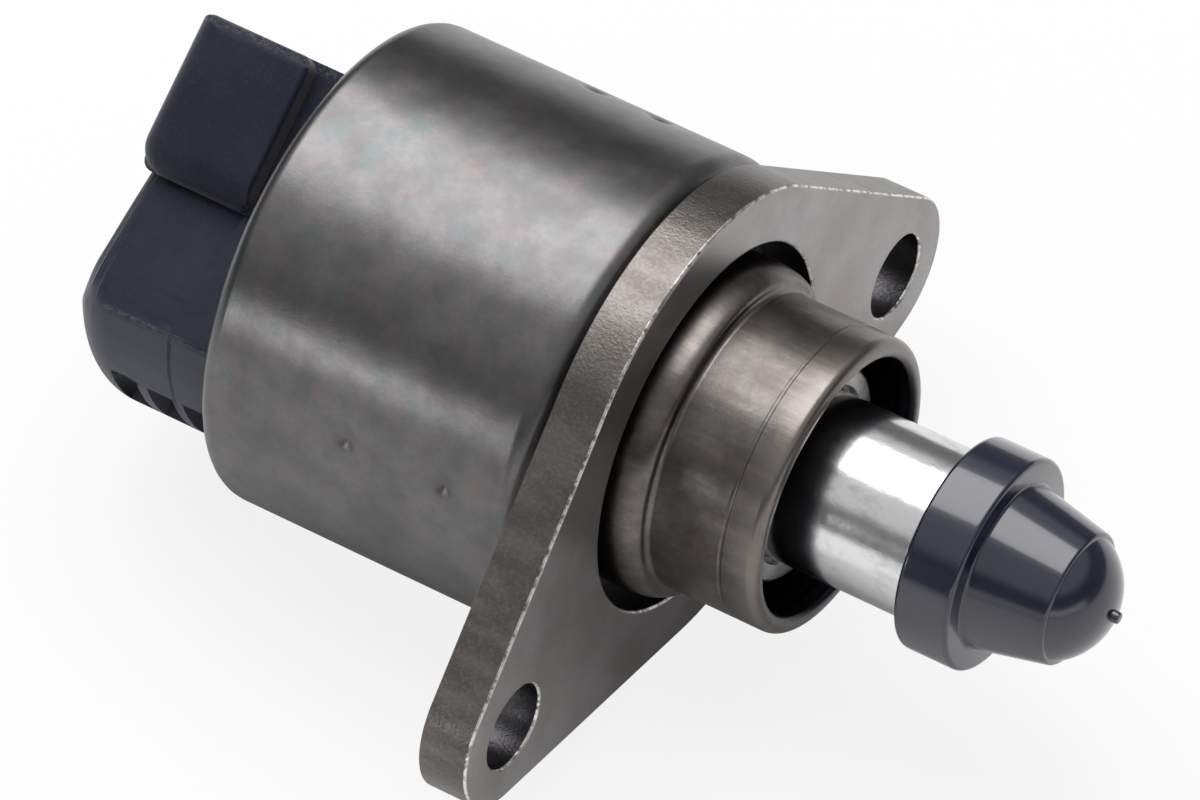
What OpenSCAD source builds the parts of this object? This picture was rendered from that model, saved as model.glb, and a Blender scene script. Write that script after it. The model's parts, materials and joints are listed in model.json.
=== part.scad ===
// Idle air control valve: a stepper motor in a drawn steel can drives a pintle out of its nose.
// Millimetres. +X is the valve axis towards the pintle, +Y runs along the two bolt holes, +Z is up.
// The origin is on the valve axis, in the mounting face of the flange.

/* [Can] */
// Outer radius of the drawn can
can_r = 17.5; // [17:0.1:18.5]
// Length of the can from its rear rim to the flange
can_len = 25.5; // [25:0.1:28]
// Sheet thickness of the can
can_wall = 1.0; // [0.8:0.05:1.1]
// Radius of the drawn front corner
can_front_round = 1.9; // [1.5:0.1:2.2]
// Radius of the rolled rear rim
can_rear_round = 1.3; // [1.0:0.1:1.5]
// Radius of the punch that stakes the can to the stator
stake_r = 1.1; // [0.8:0.1:1.3]
// Depth of a stake mark
stake_depth = 0.4; // [0.2:0.05:0.5]

/* [Flange] */
// Thickness of the flange plate
flange_t = 3.7; // [3:0.1:4.5]
// Distance between the two bolt holes
bolt_pitch = 47.6; // [46:0.1:52]
// Distance of the bolt holes below the valve axis
bolt_drop = 7.0; // [5:0.1:8]
// Radius of a bolt hole
bolt_hole_r = 3.1; // [2.6:0.05:3.4]
// Radius of the round lobe about a bolt hole
lobe_r = 5.8; // [5.2:0.1:6.5]
// Width of the open ring between the nose and the flange
flange_gap = 1.7; // [1.4:0.1:2]
// Depth of the rolled blanking edge on the front
edge_roll = 0.25; // [0.1:0.05:0.4]

/* [Nose tube] */
// Outer radius of the wide base of the nose
nose_base_r = 11.6; // [11.4:0.05:12]
// Outer radius of the nose tube
nose_r = 10.65; // [10.3:0.05:10.8]
// Length of the nose in front of the mounting face
nose_len = 10.4; // [10:0.1:13]
// Sheet thickness of the nose
nose_wall = 1.1; // [0.9:0.05:1.2]
// Length of the wide base in front of the mounting face
nose_base_len = 2.1; // [1.6:0.1:2.6]
// Length of the locating land behind the mouth
land_len = 2.6; // [2.2:0.1:3]
// Depth of the groove behind the locating land
groove_depth = 0.15; // [0.1:0.05:0.3]

/* [Plunger and pintle] */
// Outer radius of the bright plunger sleeve
sleeve_r = 6.05; // [5.8:0.05:6.2]
// Sheet thickness of the plunger sleeve
sleeve_wall = 0.8; // [0.6:0.05:1]
// Distance from the mounting face to the back of the pintle
pintle_x = 19.1; // [18:0.1:22]
// Radius of the pintle collar
collar_r = 7.6; // [7:0.1:8.2]
// Length of the pintle collar
collar_len = 4.1; // [3.5:0.1:5]
// Radius of the pintle cone at its root
cone_root_r = 5.9; // [5.5:0.1:6.3]
// Radius of the pintle cone at its end
cone_end_r = 4.7; // [4.3:0.1:5.1]
// Length of the pintle cone
cone_len = 5.6; // [5:0.1:7]
// Height of the domed pintle tip
dome_h = 2.6; // [2.2:0.1:3.2]
// Travel of the plunger back from rest
travel_in = 6.0; // [5:0.5:6]
// Travel of the plunger out from rest
travel_out = 2.0; // [1:0.5:2]

/* [Rear cover and socket] */
// Radius of the moulded rear cover
cover_r = 14.6; // [14:0.1:15]
// Length of the cover behind the can
cover_len = 12.8; // [12.5:0.1:14]
// Radius of the rounded rear edge of the cover
cover_round = 3.6; // [3:0.1:4.2]
// Angle of the socket's mouth about the valve axis, from +Y towards +Z
socket_angle = 35; // [0:5:90]
// Half width of the socket shroud across its mouth
shroud_half = 10.0; // [9.6:0.1:10]
// Distance of the socket's rim from the valve axis
shroud_top = 10.9; // [10.6:0.1:11.2]
// How far the shroud stands out behind the cover
shroud_proud = 0.2; // [0.1:0.1:1]
// Length of the shroud along the valve axis
shroud_len = 9.2; // [8.8:0.1:9.5]
// Half width of the neck between the shroud and the can
neck_half = 8.3; // [8:0.1:8.6]
// Wall thickness of the socket shroud
shroud_wall = 1.3; // [1.2:0.1:1.4]
// Depth of the socket
socket_depth = 9.3; // [8.5:0.1:9.5]
// Distance between two terminals
terminal_pitch = 4.0; // [3.6:0.1:4.2]
// Width of a terminal blade
terminal_w = 1.6; // [1.2:0.1:2]
// Thickness of a terminal
terminal_t = 0.64; // [0.5:0.02:0.8]

/* [Motor] */
// Sheet thickness of the claw cups
cup_wall = 0.8; // [0.7:0.05:0.9]
// Inner radius of the ring of claws
claw_r = 8.4; // [8.35:0.05:8.6]
// Radius of the ring magnet
magnet_r = 8.0; // [7.7:0.05:8]
// Radius of the rotor hub inside the magnet
hub_r = 5.0; // [4.9:0.05:5.2]
// Radius of the rotor's front journal
front_journal_r = 3.5; // [3.4:0.05:3.6]
// Radius of the rotor's rear journal
rear_journal_r = 3.0; // [2.9:0.05:3.2]
// Radius of the lead screw
screw_r = 2.0; // [1.8:0.05:2]
// Outer radius of the front ball bearing
bearing_r = 7.0; // [6.9:0.05:7]
// Width of the front ball bearing
bearing_w = 3.5; // [3.3:0.1:3.6]
// Diameter of a bearing ball
ball_d = 2.0; // [1.8:0.05:2.1]
// Outer radius of the rear bush
bush_r = 5.0; // [4.6:0.1:5.4]
// Length of the rear bush
bush_len = 4.0; // [3:0.1:4.4]

/* [Hidden] */

// Running and free clearances between pieces
fit = 0.05;
bearing_fit = 0.04;
free = 0.3;
eps = 0.01;
// Spare length of a cutting shape past the face that it cuts
spare = 1;
round_fn = 96;
small_fn = 48;

// Places along the valve axis, from the flange backwards
can_front = -flange_t;
can_rear = can_front - can_len;
nose_flange_t = 1.0;
nose_flange_front = can_front - can_wall;
nose_flange_back = nose_flange_front - nose_flange_t;
plate_t = 2.0;
plate_back = nose_flange_back - plate_t;
plug_t = 1.5;
plug_back = can_rear + can_wall;
plug_front = plug_back + plug_t;
stack_len = (plate_back - plug_front) / 2;
stator_r = can_r - can_wall - 0.1;

// Stake marks: angle about the axis, and places as shares of the can's length
low_stake_angles = [165, 285];
low_stake_places = [0.463, 0.765];
top_stake_angle = 45;
top_stake_places = [0.5, 0.7];

// Flange outline: a round hub and two lobes, joined by tangent lines
flange_hub_r = can_r - 0.1;
flange_hole_r = nose_base_r + flange_gap;
lobe_reach = norm([bolt_pitch / 2, bolt_drop]);
lobe_lean = atan2(-bolt_drop, bolt_pitch / 2);
tangent_turn = acos((flange_hub_r - lobe_r) / lobe_reach);
tangent_len = sqrt(pow(lobe_reach, 2) - pow(flange_hub_r - lobe_r, 2));
edge_inset = edge_roll * 0.7;
notch_w = 0.5;
notch_step = 2;

// Nose tube
nose_flange_r = can_r - can_front_round - fit;
nose_hole_r = nose_base_r - nose_wall;
tube_hole_r = nose_r - nose_wall;
nose_shoulder = 0.7;
groove_w = 0.3;
groove_front = nose_len - land_len;
lip_curl = 0.13;
lip_r = nose_wall / 2 + lip_curl;

// Guide bush inside the nose
guide_bore_r = sleeve_r + fit;
guide_wall = 1.7;
guide_r = guide_bore_r + guide_wall;
guide_front = nose_len - 2.4;
guide_edge = 0.3;
bore_chamfer = 0.4;
guide_web_t = 1.2;
guide_web_front = nose_flange_back + guide_web_t;
guide_flange_len = 2.5;
guide_seat_t = 0.8;
screw_hole_r = screw_r + 0.4;
key_w = 1.4;
key_rise = 0.85;
key_reach = sleeve_r + key_rise;

// Plunger
core_back = guide_web_front + free + travel_in;
core_collar = 1.0;
sleeve_back = core_back + core_collar;
key_groove_front = sleeve_back + travel_out + free;
sleeve_hole_r = sleeve_r - sleeve_wall;
core_len = 6.0;
spigot_len = 3.0;
collar_edge = 0.35;
cone_start = pintle_x + collar_len;
cone_end = cone_start + cone_len;
tip_x = cone_end + dome_h;
dome_step = 0.3;
dome_root_r = cone_end_r - dome_step;
dome_r = (pow(dome_root_r, 2) + pow(dome_h, 2)) / (2 * dome_h);
nub_r = 0.45;
nub_len = 0.5;
screw_chamfer = 0.4;

// Front bearing and rotor
bearing_front = nose_flange_back - free;
bearing_back = bearing_front - bearing_w;
race_t = 1.0;
ball_pitch_r = (front_journal_r + bearing_r) / 2;
ball_count = 9;
bearing_mid = (bearing_front + bearing_back) / 2;
seat_lip = 0.6;
seat_wall = 0.9;
seat_ledge = 0.8;
cage_t = 0.6;
cage_edge = 0.3;
hub_front = bearing_back - 0.4;
washer_t = 0.3;
hub_back = plug_front + washer_t + free;
hub_collar_r = hub_r + 1.4;
hub_collar_t = 1.0;
journal_collar = 0.9;
magnet_front = bearing_back - seat_lip - 0.5;
nut_r = 3.6;
nut_len = 8.0;
nut_front = hub_front - 1.5;
nut_back = nut_front - nut_len;
screw_back = nut_back - travel_out - 0.5;
screw_front = core_back + 5.0;

// Stator: claws, bobbins and windings
claw_count = 12;
claw_t = 0.8;
claw_root_w = 2.6;
claw_tip_w = 1.2;
claw_tip_gap = 0.5;
cup_fit = 0.1;
claw_len = stack_len - 2 * cup_wall - claw_tip_gap;
bobbin_r = claw_r + claw_t + cup_fit;
bobbin_wall = 0.7;
bobbin_rim_r = stator_r - cup_wall - cup_fit - 0.2;
winding_r = bobbin_rim_r - 0.5;
coil_space = stack_len - 2 * cup_wall;
leg_gap = 0.6;

// Rear cover
cover_back = can_rear - cover_len;
shroud_back = cover_back - shroud_proud;
shroud_front = shroud_back + shroud_len;
seam_x = shroud_front - 0.3;
seam_w = 0.35;
seam_depth = 0.3;
seam_rise = 0.35;
shroud_foot = -0.4;
shroud_corner = 1.7;
shroud_edge = 1.1;
shroud_seat_edge = 0.4;
shoulder_s = -10.1;
shoulder_n = 10.7;
shoulder_drop = 2.95;
shoulder_round = 2.6;
shoulder_angle = atan2(-shoulder_drop, shroud_foot - shoulder_s);
ramp_angle = -22;
ramp_rise = 2.8;
ramp_len = 6.7;
ramp_h = 4;
ramp_t = 3;
socket_floor = shroud_top - socket_depth;
socket_corner = 0.8;
keyway_half = neck_half - 3.3;
keyway_reach = 1.4;
pocket_count = 3;
pocket_pitch = 2.9;
pocket_len = 2.1;
pocket_w = 4.85;
pocket_rib = 0.45;
pocket_depth = 1.3;
pocket_first = seam_x - 5.2;
terminal_x = shroud_back + 4.4;
terminal_reach = socket_floor + 6.3;
leg_s = -10.5;
leg_end = plug_front + cup_wall;
tip_cut_angle = 35;
tip_cut = [0.5, 1.6];

// Turns a half profile of [radius, x] about the valve axis
module turned() {
    rotate([0, 90, 0])
        rotate_extrude($fn = round_fn)
            children();
}

// A ring from radius r0 to r1 between two places on the valve axis
module ring(x0, x1, r0, r1) {
    turned()
        translate([r0, x0])
            square([r1 - r0, x1 - x0]);
}

// A solid round bar along the valve axis
module bar(x0, x1, r) {
    translate([x0, 0, 0])
        rotate([0, 90, 0])
            cylinder(h = x1 - x0, r = r, $fn = round_fn);
}

// Half profile of a drum whose rear and front corners are rounded
module drum_profile(x0, x1, r, rear_round, front_round) {
    translate([0, x0 + rear_round])
        square([r, x1 - x0 - rear_round - front_round]);
    translate([0, x0])
        square([r - max(rear_round, front_round), x1 - x0]);
    if (rear_round > 0)
        translate([r - rear_round, x0 + rear_round])
            circle(r = rear_round, $fn = small_fn);
    if (front_round > 0)
        translate([r - front_round, x1 - front_round])
            circle(r = front_round, $fn = small_fn);
}

module drum(x0, x1, r, rear_round = 0, front_round = 0) {
    turned()
        drum_profile(x0, x1, r, rear_round, front_round);
}

// A rectangle with round corners, about its centre
module round_rect(w, h, r) {
    square([w - 2 * r, h], center = true);
    square([w, h - 2 * r], center = true);
    for (sx = [-1, 1], sy = [-1, 1])
        translate([sx * (w / 2 - r), sy * (h / 2 - r)])
            circle(r = r, $fn = small_fn);
}

// Turns the socket's own directions, Y out of its mouth and Z across it, about the valve axis
module at_socket() {
    rotate([socket_angle, 0, 0])
        children();
}

// Can

module stake_mark(x, angle) {
    rotate([angle, 0, 0])
        translate([x, can_r + stake_r - stake_depth, 0])
            sphere(r = stake_r, $fn = small_fn);
}

module can() {
    color([0.38, 0.35, 0.34])
        difference() {
            drum(can_rear, can_front, can_r, can_rear_round, can_front_round);
            drum(plug_back, nose_flange_front, can_r - can_wall, 0, can_front_round - can_wall);
            bar(nose_flange_front - spare, can_front + spare, nose_base_r + fit);
            bar(can_rear - spare, plug_back + spare, cover_r + fit);
            for (angle = low_stake_angles, place = low_stake_places)
                stake_mark(can_rear + place * can_len, angle);
            for (place = top_stake_places)
                stake_mark(can_rear + place * can_len, top_stake_angle);
        }
}

// Flange

// Points along an arc about a centre, from angle a0 to a1
function arc(centre, r, a0, a1, steps) =
    [for (i = [0:steps]) let (a = a0 + (a1 - a0) * i / steps) centre + r * [cos(a), sin(a)]];

// Outline of the flange in its own plane: a round plate with two lobes joined by tangent lines
module flange_outline(inset = 0) {
    big = flange_hub_r - inset;
    small = lobe_r - inset;
    half = bolt_pitch / 2;
    upper = lobe_lean + tangent_turn;
    lower = lobe_lean - tangent_turn;
    polygon(concat(
        arc([half, -bolt_drop], small, lower, upper, 32),
        arc([0, 0], big, upper, 180 - upper, 36),
        arc([-half, -bolt_drop], small, 180 - upper, 180 - lower, 32),
        arc([0, 0], big, 180 - lower, 360 + lower, 10)));
}

// Lifts a flat outline drawn in Y and Z to a plate between two places on the valve axis
module plate(x0, x1) {
    translate([x0, 0, 0])
        rotate([90, 0, 90])
            linear_extrude(height = x1 - x0)
                children();
}

// A shallow notch across the flange's sloping edge, at a distance along it from the round hub
module edge_notch(x0, x1, along) {
    translate([x0, 0, 0])
        rotate([lobe_lean + tangent_turn, 0, 0])
            translate([0, flange_hub_r, -along])
                rotate([45, 0, 0])
                    translate([0, -notch_w / 2, -notch_w / 2])
                        cube([x1 - x0, notch_w, notch_w]);
}

module flange() {
    color([0.5, 0.47, 0.46])
        difference() {
            union() {
                plate(-flange_t, -edge_roll)
                    flange_outline();
                plate(-edge_roll - eps, 0)
                    flange_outline(edge_inset);
            }
            bar(-flange_t - spare, spare, flange_hole_r);
            for (side = [-1, 1])
                translate([0, side * bolt_pitch / 2, -bolt_drop])
                    bar(-flange_t - spare, spare, bolt_hole_r);
            edge_notch(-flange_t - spare, -flange_t * 0.55, tangent_len / 2);
            edge_notch(-flange_t * 0.45, spare, tangent_len / 2 + notch_step);
        }
}

// Nose tube

module nose_tube() {
    shoulder_r = nose_base_r - nose_shoulder;
    shoulder_x = nose_base_len - nose_shoulder;
    color([0.36, 0.33, 0.31])
        turned()
            union() {
                translate([nose_hole_r, nose_flange_back])
                    square([nose_flange_r - nose_hole_r, nose_flange_t]);
                translate([nose_hole_r, nose_flange_back])
                    square([nose_wall, shoulder_x - nose_flange_back]);
                translate([tube_hole_r, nose_base_len - nose_wall])
                    square([shoulder_r - tube_hole_r, nose_wall]);
                translate([shoulder_r, shoulder_x])
                    circle(r = nose_shoulder, $fn = small_fn);
                translate([tube_hole_r, nose_base_len - nose_wall])
                    square([nose_wall, groove_front - groove_w - nose_base_len + nose_wall]);
                translate([tube_hole_r, groove_front - groove_w - eps])
                    square([nose_wall - groove_depth, groove_w + 2 * eps]);
                translate([tube_hole_r, groove_front])
                    square([nose_wall, land_len - lip_r]);
                translate([nose_r - lip_r, nose_len - lip_r])
                    circle(r = lip_r, $fn = small_fn);
            }
}

// Guide bush, in which the plunger slides without turning

module guide_bush() {
    groove_len = key_groove_front - guide_web_front;
    color([0.62, 0.6, 0.56])
        difference() {
            union() {
                drum(nose_flange_back, guide_front, guide_r, 0, guide_edge);
                ring(nose_flange_back, guide_web_front + guide_flange_len, guide_bore_r, nose_hole_r - fit);
                ring(bearing_front, nose_flange_back + eps, bearing_r - guide_seat_t, bearing_r - fit);
            }
            bar(guide_web_front, guide_front + spare, guide_bore_r);
            bar(bearing_front - spare, guide_web_front + spare, screw_hole_r);
            turned()
                polygon([[guide_bore_r - eps, guide_front - bore_chamfer], [guide_bore_r - eps, guide_front + eps],
                    [guide_bore_r + bore_chamfer, guide_front + eps]]);
            translate([guide_web_front + groove_len / 2, 0, 0])
                cube([groove_len, 2 * (key_reach + free), key_w + 2 * free], center = true);
        }
}

// Rear cover with its socket

// Outline of the moulding across the valve axis, Y out of the socket's mouth
module cover_outline(rise) {
    polygon([[shroud_top, neck_half], [shroud_foot, neck_half],
        [shroud_foot, shoulder_n - shoulder_drop + rise], [shoulder_s, shoulder_n + rise],
        [-cover_r - 2, shoulder_n + rise + 2], [-cover_r - 2, -shoulder_n - rise - 2],
        [shoulder_s, -shoulder_n - rise], [shroud_foot, -shoulder_n + shoulder_drop - rise],
        [shroud_foot, -neck_half], [shroud_top, -neck_half]]);
}

// A wide prism under one sloping shoulder, with the moulding's rounded rear edge
module shoulder_block(side) {
    reach = 4 * cover_r;
    mirror([0, 0, side > 0 ? 0 : 1])
        translate([0, shoulder_s, shoulder_n])
            rotate([shoulder_angle, 0, 0])
                rotate([90, 0, 0])
                    translate([0, 0, -reach / 2])
                        linear_extrude(height = reach) {
                            translate([cover_back, -reach])
                                square([cover_len, reach - shoulder_round]);
                            translate([cover_back + shoulder_round, -reach])
                                square([cover_len - shoulder_round, reach]);
                            translate([cover_back + shoulder_round, -shoulder_round])
                                circle(r = shoulder_round, $fn = small_fn);
                        }
}

module cover_body() {
    intersection() {
        drum(cover_back, plug_back + eps, cover_r, cover_round, 0);
        union() {
            intersection() {
                plate(cover_back - spare, seam_x)
                    cover_outline(0);
                union() {
                    intersection() {
                        shoulder_block(1);
                        shoulder_block(-1);
                    }
                    plate(shroud_front - spare, seam_x)
                        cover_outline(0);
                }
            }
            plate(seam_x - eps, plug_back + spare)
                cover_outline(seam_rise);
        }
    }
}

// The shroud: a block whose rear corners are rounder than those on the cover
module shroud() {
    height = shroud_top - shroud_foot;
    mid_x = shroud_back + shroud_len / 2;
    mid_s = shroud_foot + height / 2;
    intersection() {
        translate([mid_x, mid_s, 0])
            rotate([90, 0, 0])
                translate([0, 0, -height / 2])
                    linear_extrude(height = height)
                        intersection() {
                            translate([shroud_corner, 0])
                                round_rect(shroud_len + 2 * shroud_corner, 2 * shroud_half, shroud_corner);
                            translate([-shroud_corner, 0])
                                round_rect(shroud_len + 2 * shroud_corner, 2 * shroud_half, shroud_seat_edge);
                        }
        plate(shroud_back - spare, shroud_front + spare)
            translate([mid_s, 0])
                round_rect(height, 2 * shroud_half, shroud_edge);
        translate([0, 0, -shroud_half - spare])
            linear_extrude(height = 2 * (shroud_half + spare))
                translate([mid_x, mid_s])
                    round_rect(shroud_len, height, shroud_edge);
    }
}

// The ramp that is cut along the foot of the shroud, where a plug's latch passes
module latch_ramp() {
    for (side = [0, 1])
        mirror([0, 0, side])
            translate([shroud_back - spare, shroud_foot + ramp_rise, shroud_half])
                rotate([ramp_angle, 0, 0])
                    translate([0, -ramp_h, 0])
                        cube([ramp_len, ramp_h, ramp_t]);
}

module socket_space() {
    back = shroud_back + shroud_wall;
    front = shroud_front - shroud_wall;
    depth = socket_depth + spare;
    translate([(back + front) / 2, socket_floor + depth, 0])
        rotate([90, 0, 0])
            linear_extrude(height = depth)
                round_rect(front - back, 2 * (shroud_half - shroud_wall), socket_corner);
    translate([front - 2 * socket_corner, socket_floor, -keyway_half])
        cube([2 * socket_corner + shroud_wall + keyway_reach, depth, 2 * keyway_half]);
}

// Cored pockets on the side away from the socket's mouth, with ribs between them
module cored_pockets() {
    for (i = [0:pocket_count - 1], side = [0, 1])
        mirror([0, 0, side])
            translate([pocket_first + i * pocket_pitch, -cover_r - spare, pocket_rib])
                cube([pocket_len, pocket_depth + spare, pocket_w]);
}

module rear_cover() {
    color([0.14, 0.15, 0.2])
        at_socket()
            difference() {
                union() {
                    cover_body();
                    bar(plug_back, plug_front, stator_r);
                    shroud();
                }
                latch_ramp();
                socket_space();
                cored_pockets();
                ring(seam_x - seam_w / 2, seam_x + seam_w / 2, cover_r - seam_depth, cover_r + spare);
                bar(plug_front - bush_len, plug_front + spare, bush_r);
                for (i = [0:3])
                    terminal_shape(i);
            }
}

// Place of a terminal across the socket
function terminal_across(i) = (i - 1.5) * terminal_pitch;

// A stamped terminal: a blade in the socket, a leg past the rotor and a foot at the bobbin
module terminal_shape(i) {
    across = terminal_across(i);
    translate([terminal_x - terminal_t / 2, leg_s, across - terminal_w / 2])
        cube([terminal_t, terminal_reach - leg_s, terminal_w]);
    translate([terminal_x - terminal_t / 2, leg_s, across - terminal_w / 2])
        cube([leg_end - terminal_x + terminal_t / 2, terminal_t, terminal_w]);
}

module terminal(i) {
    color([0.8, 0.74, 0.5])
        at_socket()
            difference() {
                terminal_shape(i);
                for (side = [-1, 1])
                    translate([terminal_x + side * terminal_t / 2, terminal_reach, 0])
                        rotate([0, 0, side * tip_cut_angle])
                            cube([tip_cut[0], tip_cut[1], 4 * shroud_half], center = true);
            }
}

// Stator: two coils, each between a pair of claw cups

// A ring of tapered claws that stands on the plane z = 0, turned by a phase about its axis
module claws(length, phase) {
    intersection() {
        difference() {
            cylinder(h = length, r = claw_r + claw_t, $fn = round_fn);
            translate([0, 0, -spare])
                cylinder(h = length + 2 * spare, r = claw_r, $fn = round_fn);
        }
        for (i = [0:claw_count - 1])
            rotate([0, 0, phase + i * 360 / claw_count])
                translate([claw_r - spare, 0, 0])
                    rotate([90, 0, 90])
                        linear_extrude(height = claw_t + 2 * spare)
                            polygon([[-claw_root_w / 2, -eps], [claw_root_w / 2, -eps],
                                [claw_tip_w / 2, length + eps], [-claw_tip_w / 2, length + eps]]);
    }
}

// The outer cup: end plate, claws and the wall about the coil, from z = 0 inwards
module outer_cup() {
    difference() {
        cylinder(h = stack_len - cup_wall, r = stator_r, $fn = round_fn);
        translate([0, 0, cup_wall])
            cylinder(h = stack_len, r = stator_r - cup_wall - cup_fit, $fn = round_fn);
        translate([0, 0, -spare])
            cylinder(h = stack_len, r = claw_r, $fn = round_fn);
    }
    translate([0, 0, cup_wall - eps])
        claws(claw_len, 0);
}

// The inner cup: a flat plate whose claws reach back between those of the outer cup
module inner_cup() {
    difference() {
        cylinder(h = cup_wall, r = stator_r, $fn = round_fn);
        translate([0, 0, -spare])
            cylinder(h = cup_wall + 2 * spare, r = claw_r, $fn = round_fn);
    }
    translate([0, 0, cup_wall - eps])
        claws(claw_len, 180 / claw_count);
}

// Puts a piece of the front stack in place: its z runs backwards from the bearing plate
module front_stack(z = 0) {
    translate([plate_back - z, 0, 0])
        rotate([0, -90, 0])
            children();
}

// Puts a piece of the rear stack in place: its z runs forwards from the rear cover
module rear_stack(z = 0) {
    translate([plug_front + z, 0, 0])
        rotate([0, 90, 0])
            rotate([0, 0, 90 / claw_count])
                children();
}

module front_outer_cup() {
    color([0.6, 0.6, 0.62])
        front_stack()
            outer_cup();
}

module front_inner_cup() {
    color([0.6, 0.6, 0.62])
        front_stack(stack_len)
            mirror([0, 0, 1])
                inner_cup();
}

module rear_inner_cup() {
    color([0.6, 0.6, 0.62])
        rear_stack(stack_len)
            mirror([0, 0, 1])
                inner_cup();
}

module rear_outer_cup() {
    color([0.6, 0.6, 0.62])
        difference() {
            rear_stack()
                outer_cup();
            at_socket()
                for (i = [0:3])
                    translate([plug_front - spare, leg_s - leg_gap, terminal_across(i) - terminal_w / 2 - leg_gap])
                        cube([cup_wall + spare + eps, terminal_t + 2 * leg_gap, terminal_w + 2 * leg_gap]);
        }
}

module bobbin() {
    difference() {
        union() {
            cylinder(h = coil_space, r = bobbin_r + bobbin_wall, $fn = round_fn);
            for (z = [0, coil_space - bobbin_wall])
                translate([0, 0, z])
                    cylinder(h = bobbin_wall, r = bobbin_rim_r, $fn = round_fn);
        }
        translate([0, 0, -spare])
            cylinder(h = coil_space + 2 * spare, r = bobbin_r, $fn = round_fn);
    }
}

module winding() {
    difference() {
        cylinder(h = coil_space - 2 * bobbin_wall, r = winding_r, $fn = round_fn);
        translate([0, 0, -spare])
            cylinder(h = coil_space, r = bobbin_r + bobbin_wall, $fn = round_fn);
    }
}

module front_bobbin() {
    color([0.85, 0.83, 0.76])
        front_stack(cup_wall)
            bobbin();
}

module rear_bobbin() {
    color([0.85, 0.83, 0.76])
        rear_stack(cup_wall)
            bobbin();
}

module front_winding() {
    color([0.72, 0.4, 0.2])
        front_stack(cup_wall + bobbin_wall)
            winding();
}

module rear_winding() {
    color([0.72, 0.4, 0.2])
        rear_stack(cup_wall + bobbin_wall)
            winding();
}

// Bearings

module bearing_plate() {
    color([0.66, 0.66, 0.68])
        difference() {
            union() {
                bar(plate_back, nose_flange_back, stator_r);
                bar(bearing_back - seat_lip, plate_back + eps, bearing_r + seat_wall);
            }
            bar(bearing_back, nose_flange_back + spare, bearing_r);
            bar(bearing_back - seat_lip - spare, bearing_back + spare, bearing_r - seat_ledge);
        }
}

module race_groove() {
    turned()
        translate([ball_pitch_r, bearing_mid])
            circle(r = ball_d / 2 + bearing_fit, $fn = small_fn);
}

module bearing_outer_race() {
    color([0.75, 0.76, 0.78])
        difference() {
            ring(bearing_back, bearing_front, bearing_r - race_t - 0.1, bearing_r);
            race_groove();
        }
}

module bearing_inner_race() {
    color([0.75, 0.76, 0.78])
        difference() {
            ring(bearing_back, bearing_front, front_journal_r, front_journal_r + race_t + 0.1);
            race_groove();
        }
}

module each_ball() {
    for (i = [0:ball_count - 1])
        rotate([i * 360 / ball_count, 0, 0])
            translate([bearing_mid, ball_pitch_r, 0])
                children();
}

module bearing_balls() {
    color([0.85, 0.86, 0.88])
        each_ball()
            sphere(r = ball_d / 2, $fn = small_fn);
}

module bearing_cage() {
    cage_half = ball_d / 2 + cage_edge;
    color([0.78, 0.68, 0.42])
        difference() {
            ring(bearing_mid - cage_half, bearing_mid + cage_half, ball_pitch_r - cage_t / 2,
                ball_pitch_r + cage_t / 2);
            each_ball()
                rotate([90, 0, 0])
                    cylinder(h = ball_d, r = ball_d / 2 + bearing_fit, center = true, $fn = small_fn);
        }
}

module rear_bush() {
    color([0.7, 0.52, 0.3])
        ring(plug_front - bush_len, plug_front, rear_journal_r + bearing_fit, bush_r);
}

module wave_washer() {
    color([0.7, 0.7, 0.72])
        ring(plug_front, plug_front + washer_t, rear_journal_r + free, bush_r - fit);
}

// Rotor

module rotor_hub() {
    color([0.9, 0.88, 0.82])
        difference() {
            union() {
                bar(hub_back, hub_front, hub_r);
                bar(hub_back, hub_back + hub_collar_t, hub_collar_r);
                bar(hub_front - eps, bearing_back, front_journal_r + journal_collar);
                bar(hub_front, bearing_front, front_journal_r);
                bar(plug_front - bush_len + free, hub_back + eps, rear_journal_r);
            }
            bar(plug_front - bush_len - spare, bearing_front + spare, screw_hole_r);
            bar(nut_back, nut_front, nut_r);
        }
}

module ring_magnet() {
    color([0.22, 0.22, 0.23])
        ring(hub_back + hub_collar_t, magnet_front, hub_r, magnet_r);
}

module nut_insert() {
    color([0.8, 0.66, 0.32])
        ring(nut_back, nut_front, screw_r + fit, nut_r);
}

// Plunger

module lead_screw() {
    color([0.7, 0.71, 0.73])
        drum(screw_back, screw_front, screw_r, screw_chamfer, screw_chamfer);
}

module plunger_core() {
    color([0.86, 0.84, 0.78])
        difference() {
            union() {
                bar(core_back, core_back + core_len, sleeve_hole_r - fit);
                bar(core_back, sleeve_back, sleeve_r);
                translate([core_back + core_collar / 2, 0, 0])
                    cube([core_collar, 2 * key_reach, key_w], center = true);
            }
            drum(screw_back, screw_front, screw_r, screw_chamfer, screw_chamfer);
        }
}

module plunger_sleeve() {
    color([0.85, 0.86, 0.88])
        ring(sleeve_back, pintle_x, sleeve_hole_r, sleeve_r);
}

module pintle() {
    color([0.09, 0.09, 0.1])
        turned() {
            translate([0, pintle_x - spigot_len])
                square([sleeve_hole_r - fit, spigot_len + spare]);
            drum_profile(pintle_x, cone_start, collar_r, collar_edge, collar_edge);
            polygon([[0, cone_start - eps], [cone_root_r, cone_start - eps], [cone_end_r, cone_end],
                [0, cone_end]]);
            intersection() {
                translate([0, tip_x - dome_r])
                    circle(r = dome_r, $fn = 128);
                translate([0, cone_end - eps])
                    square([cone_end_r, dome_h + spare]);
            }
            translate([0, tip_x - nub_len])
                square([nub_r, 2 * nub_len]);
        }
}

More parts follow.
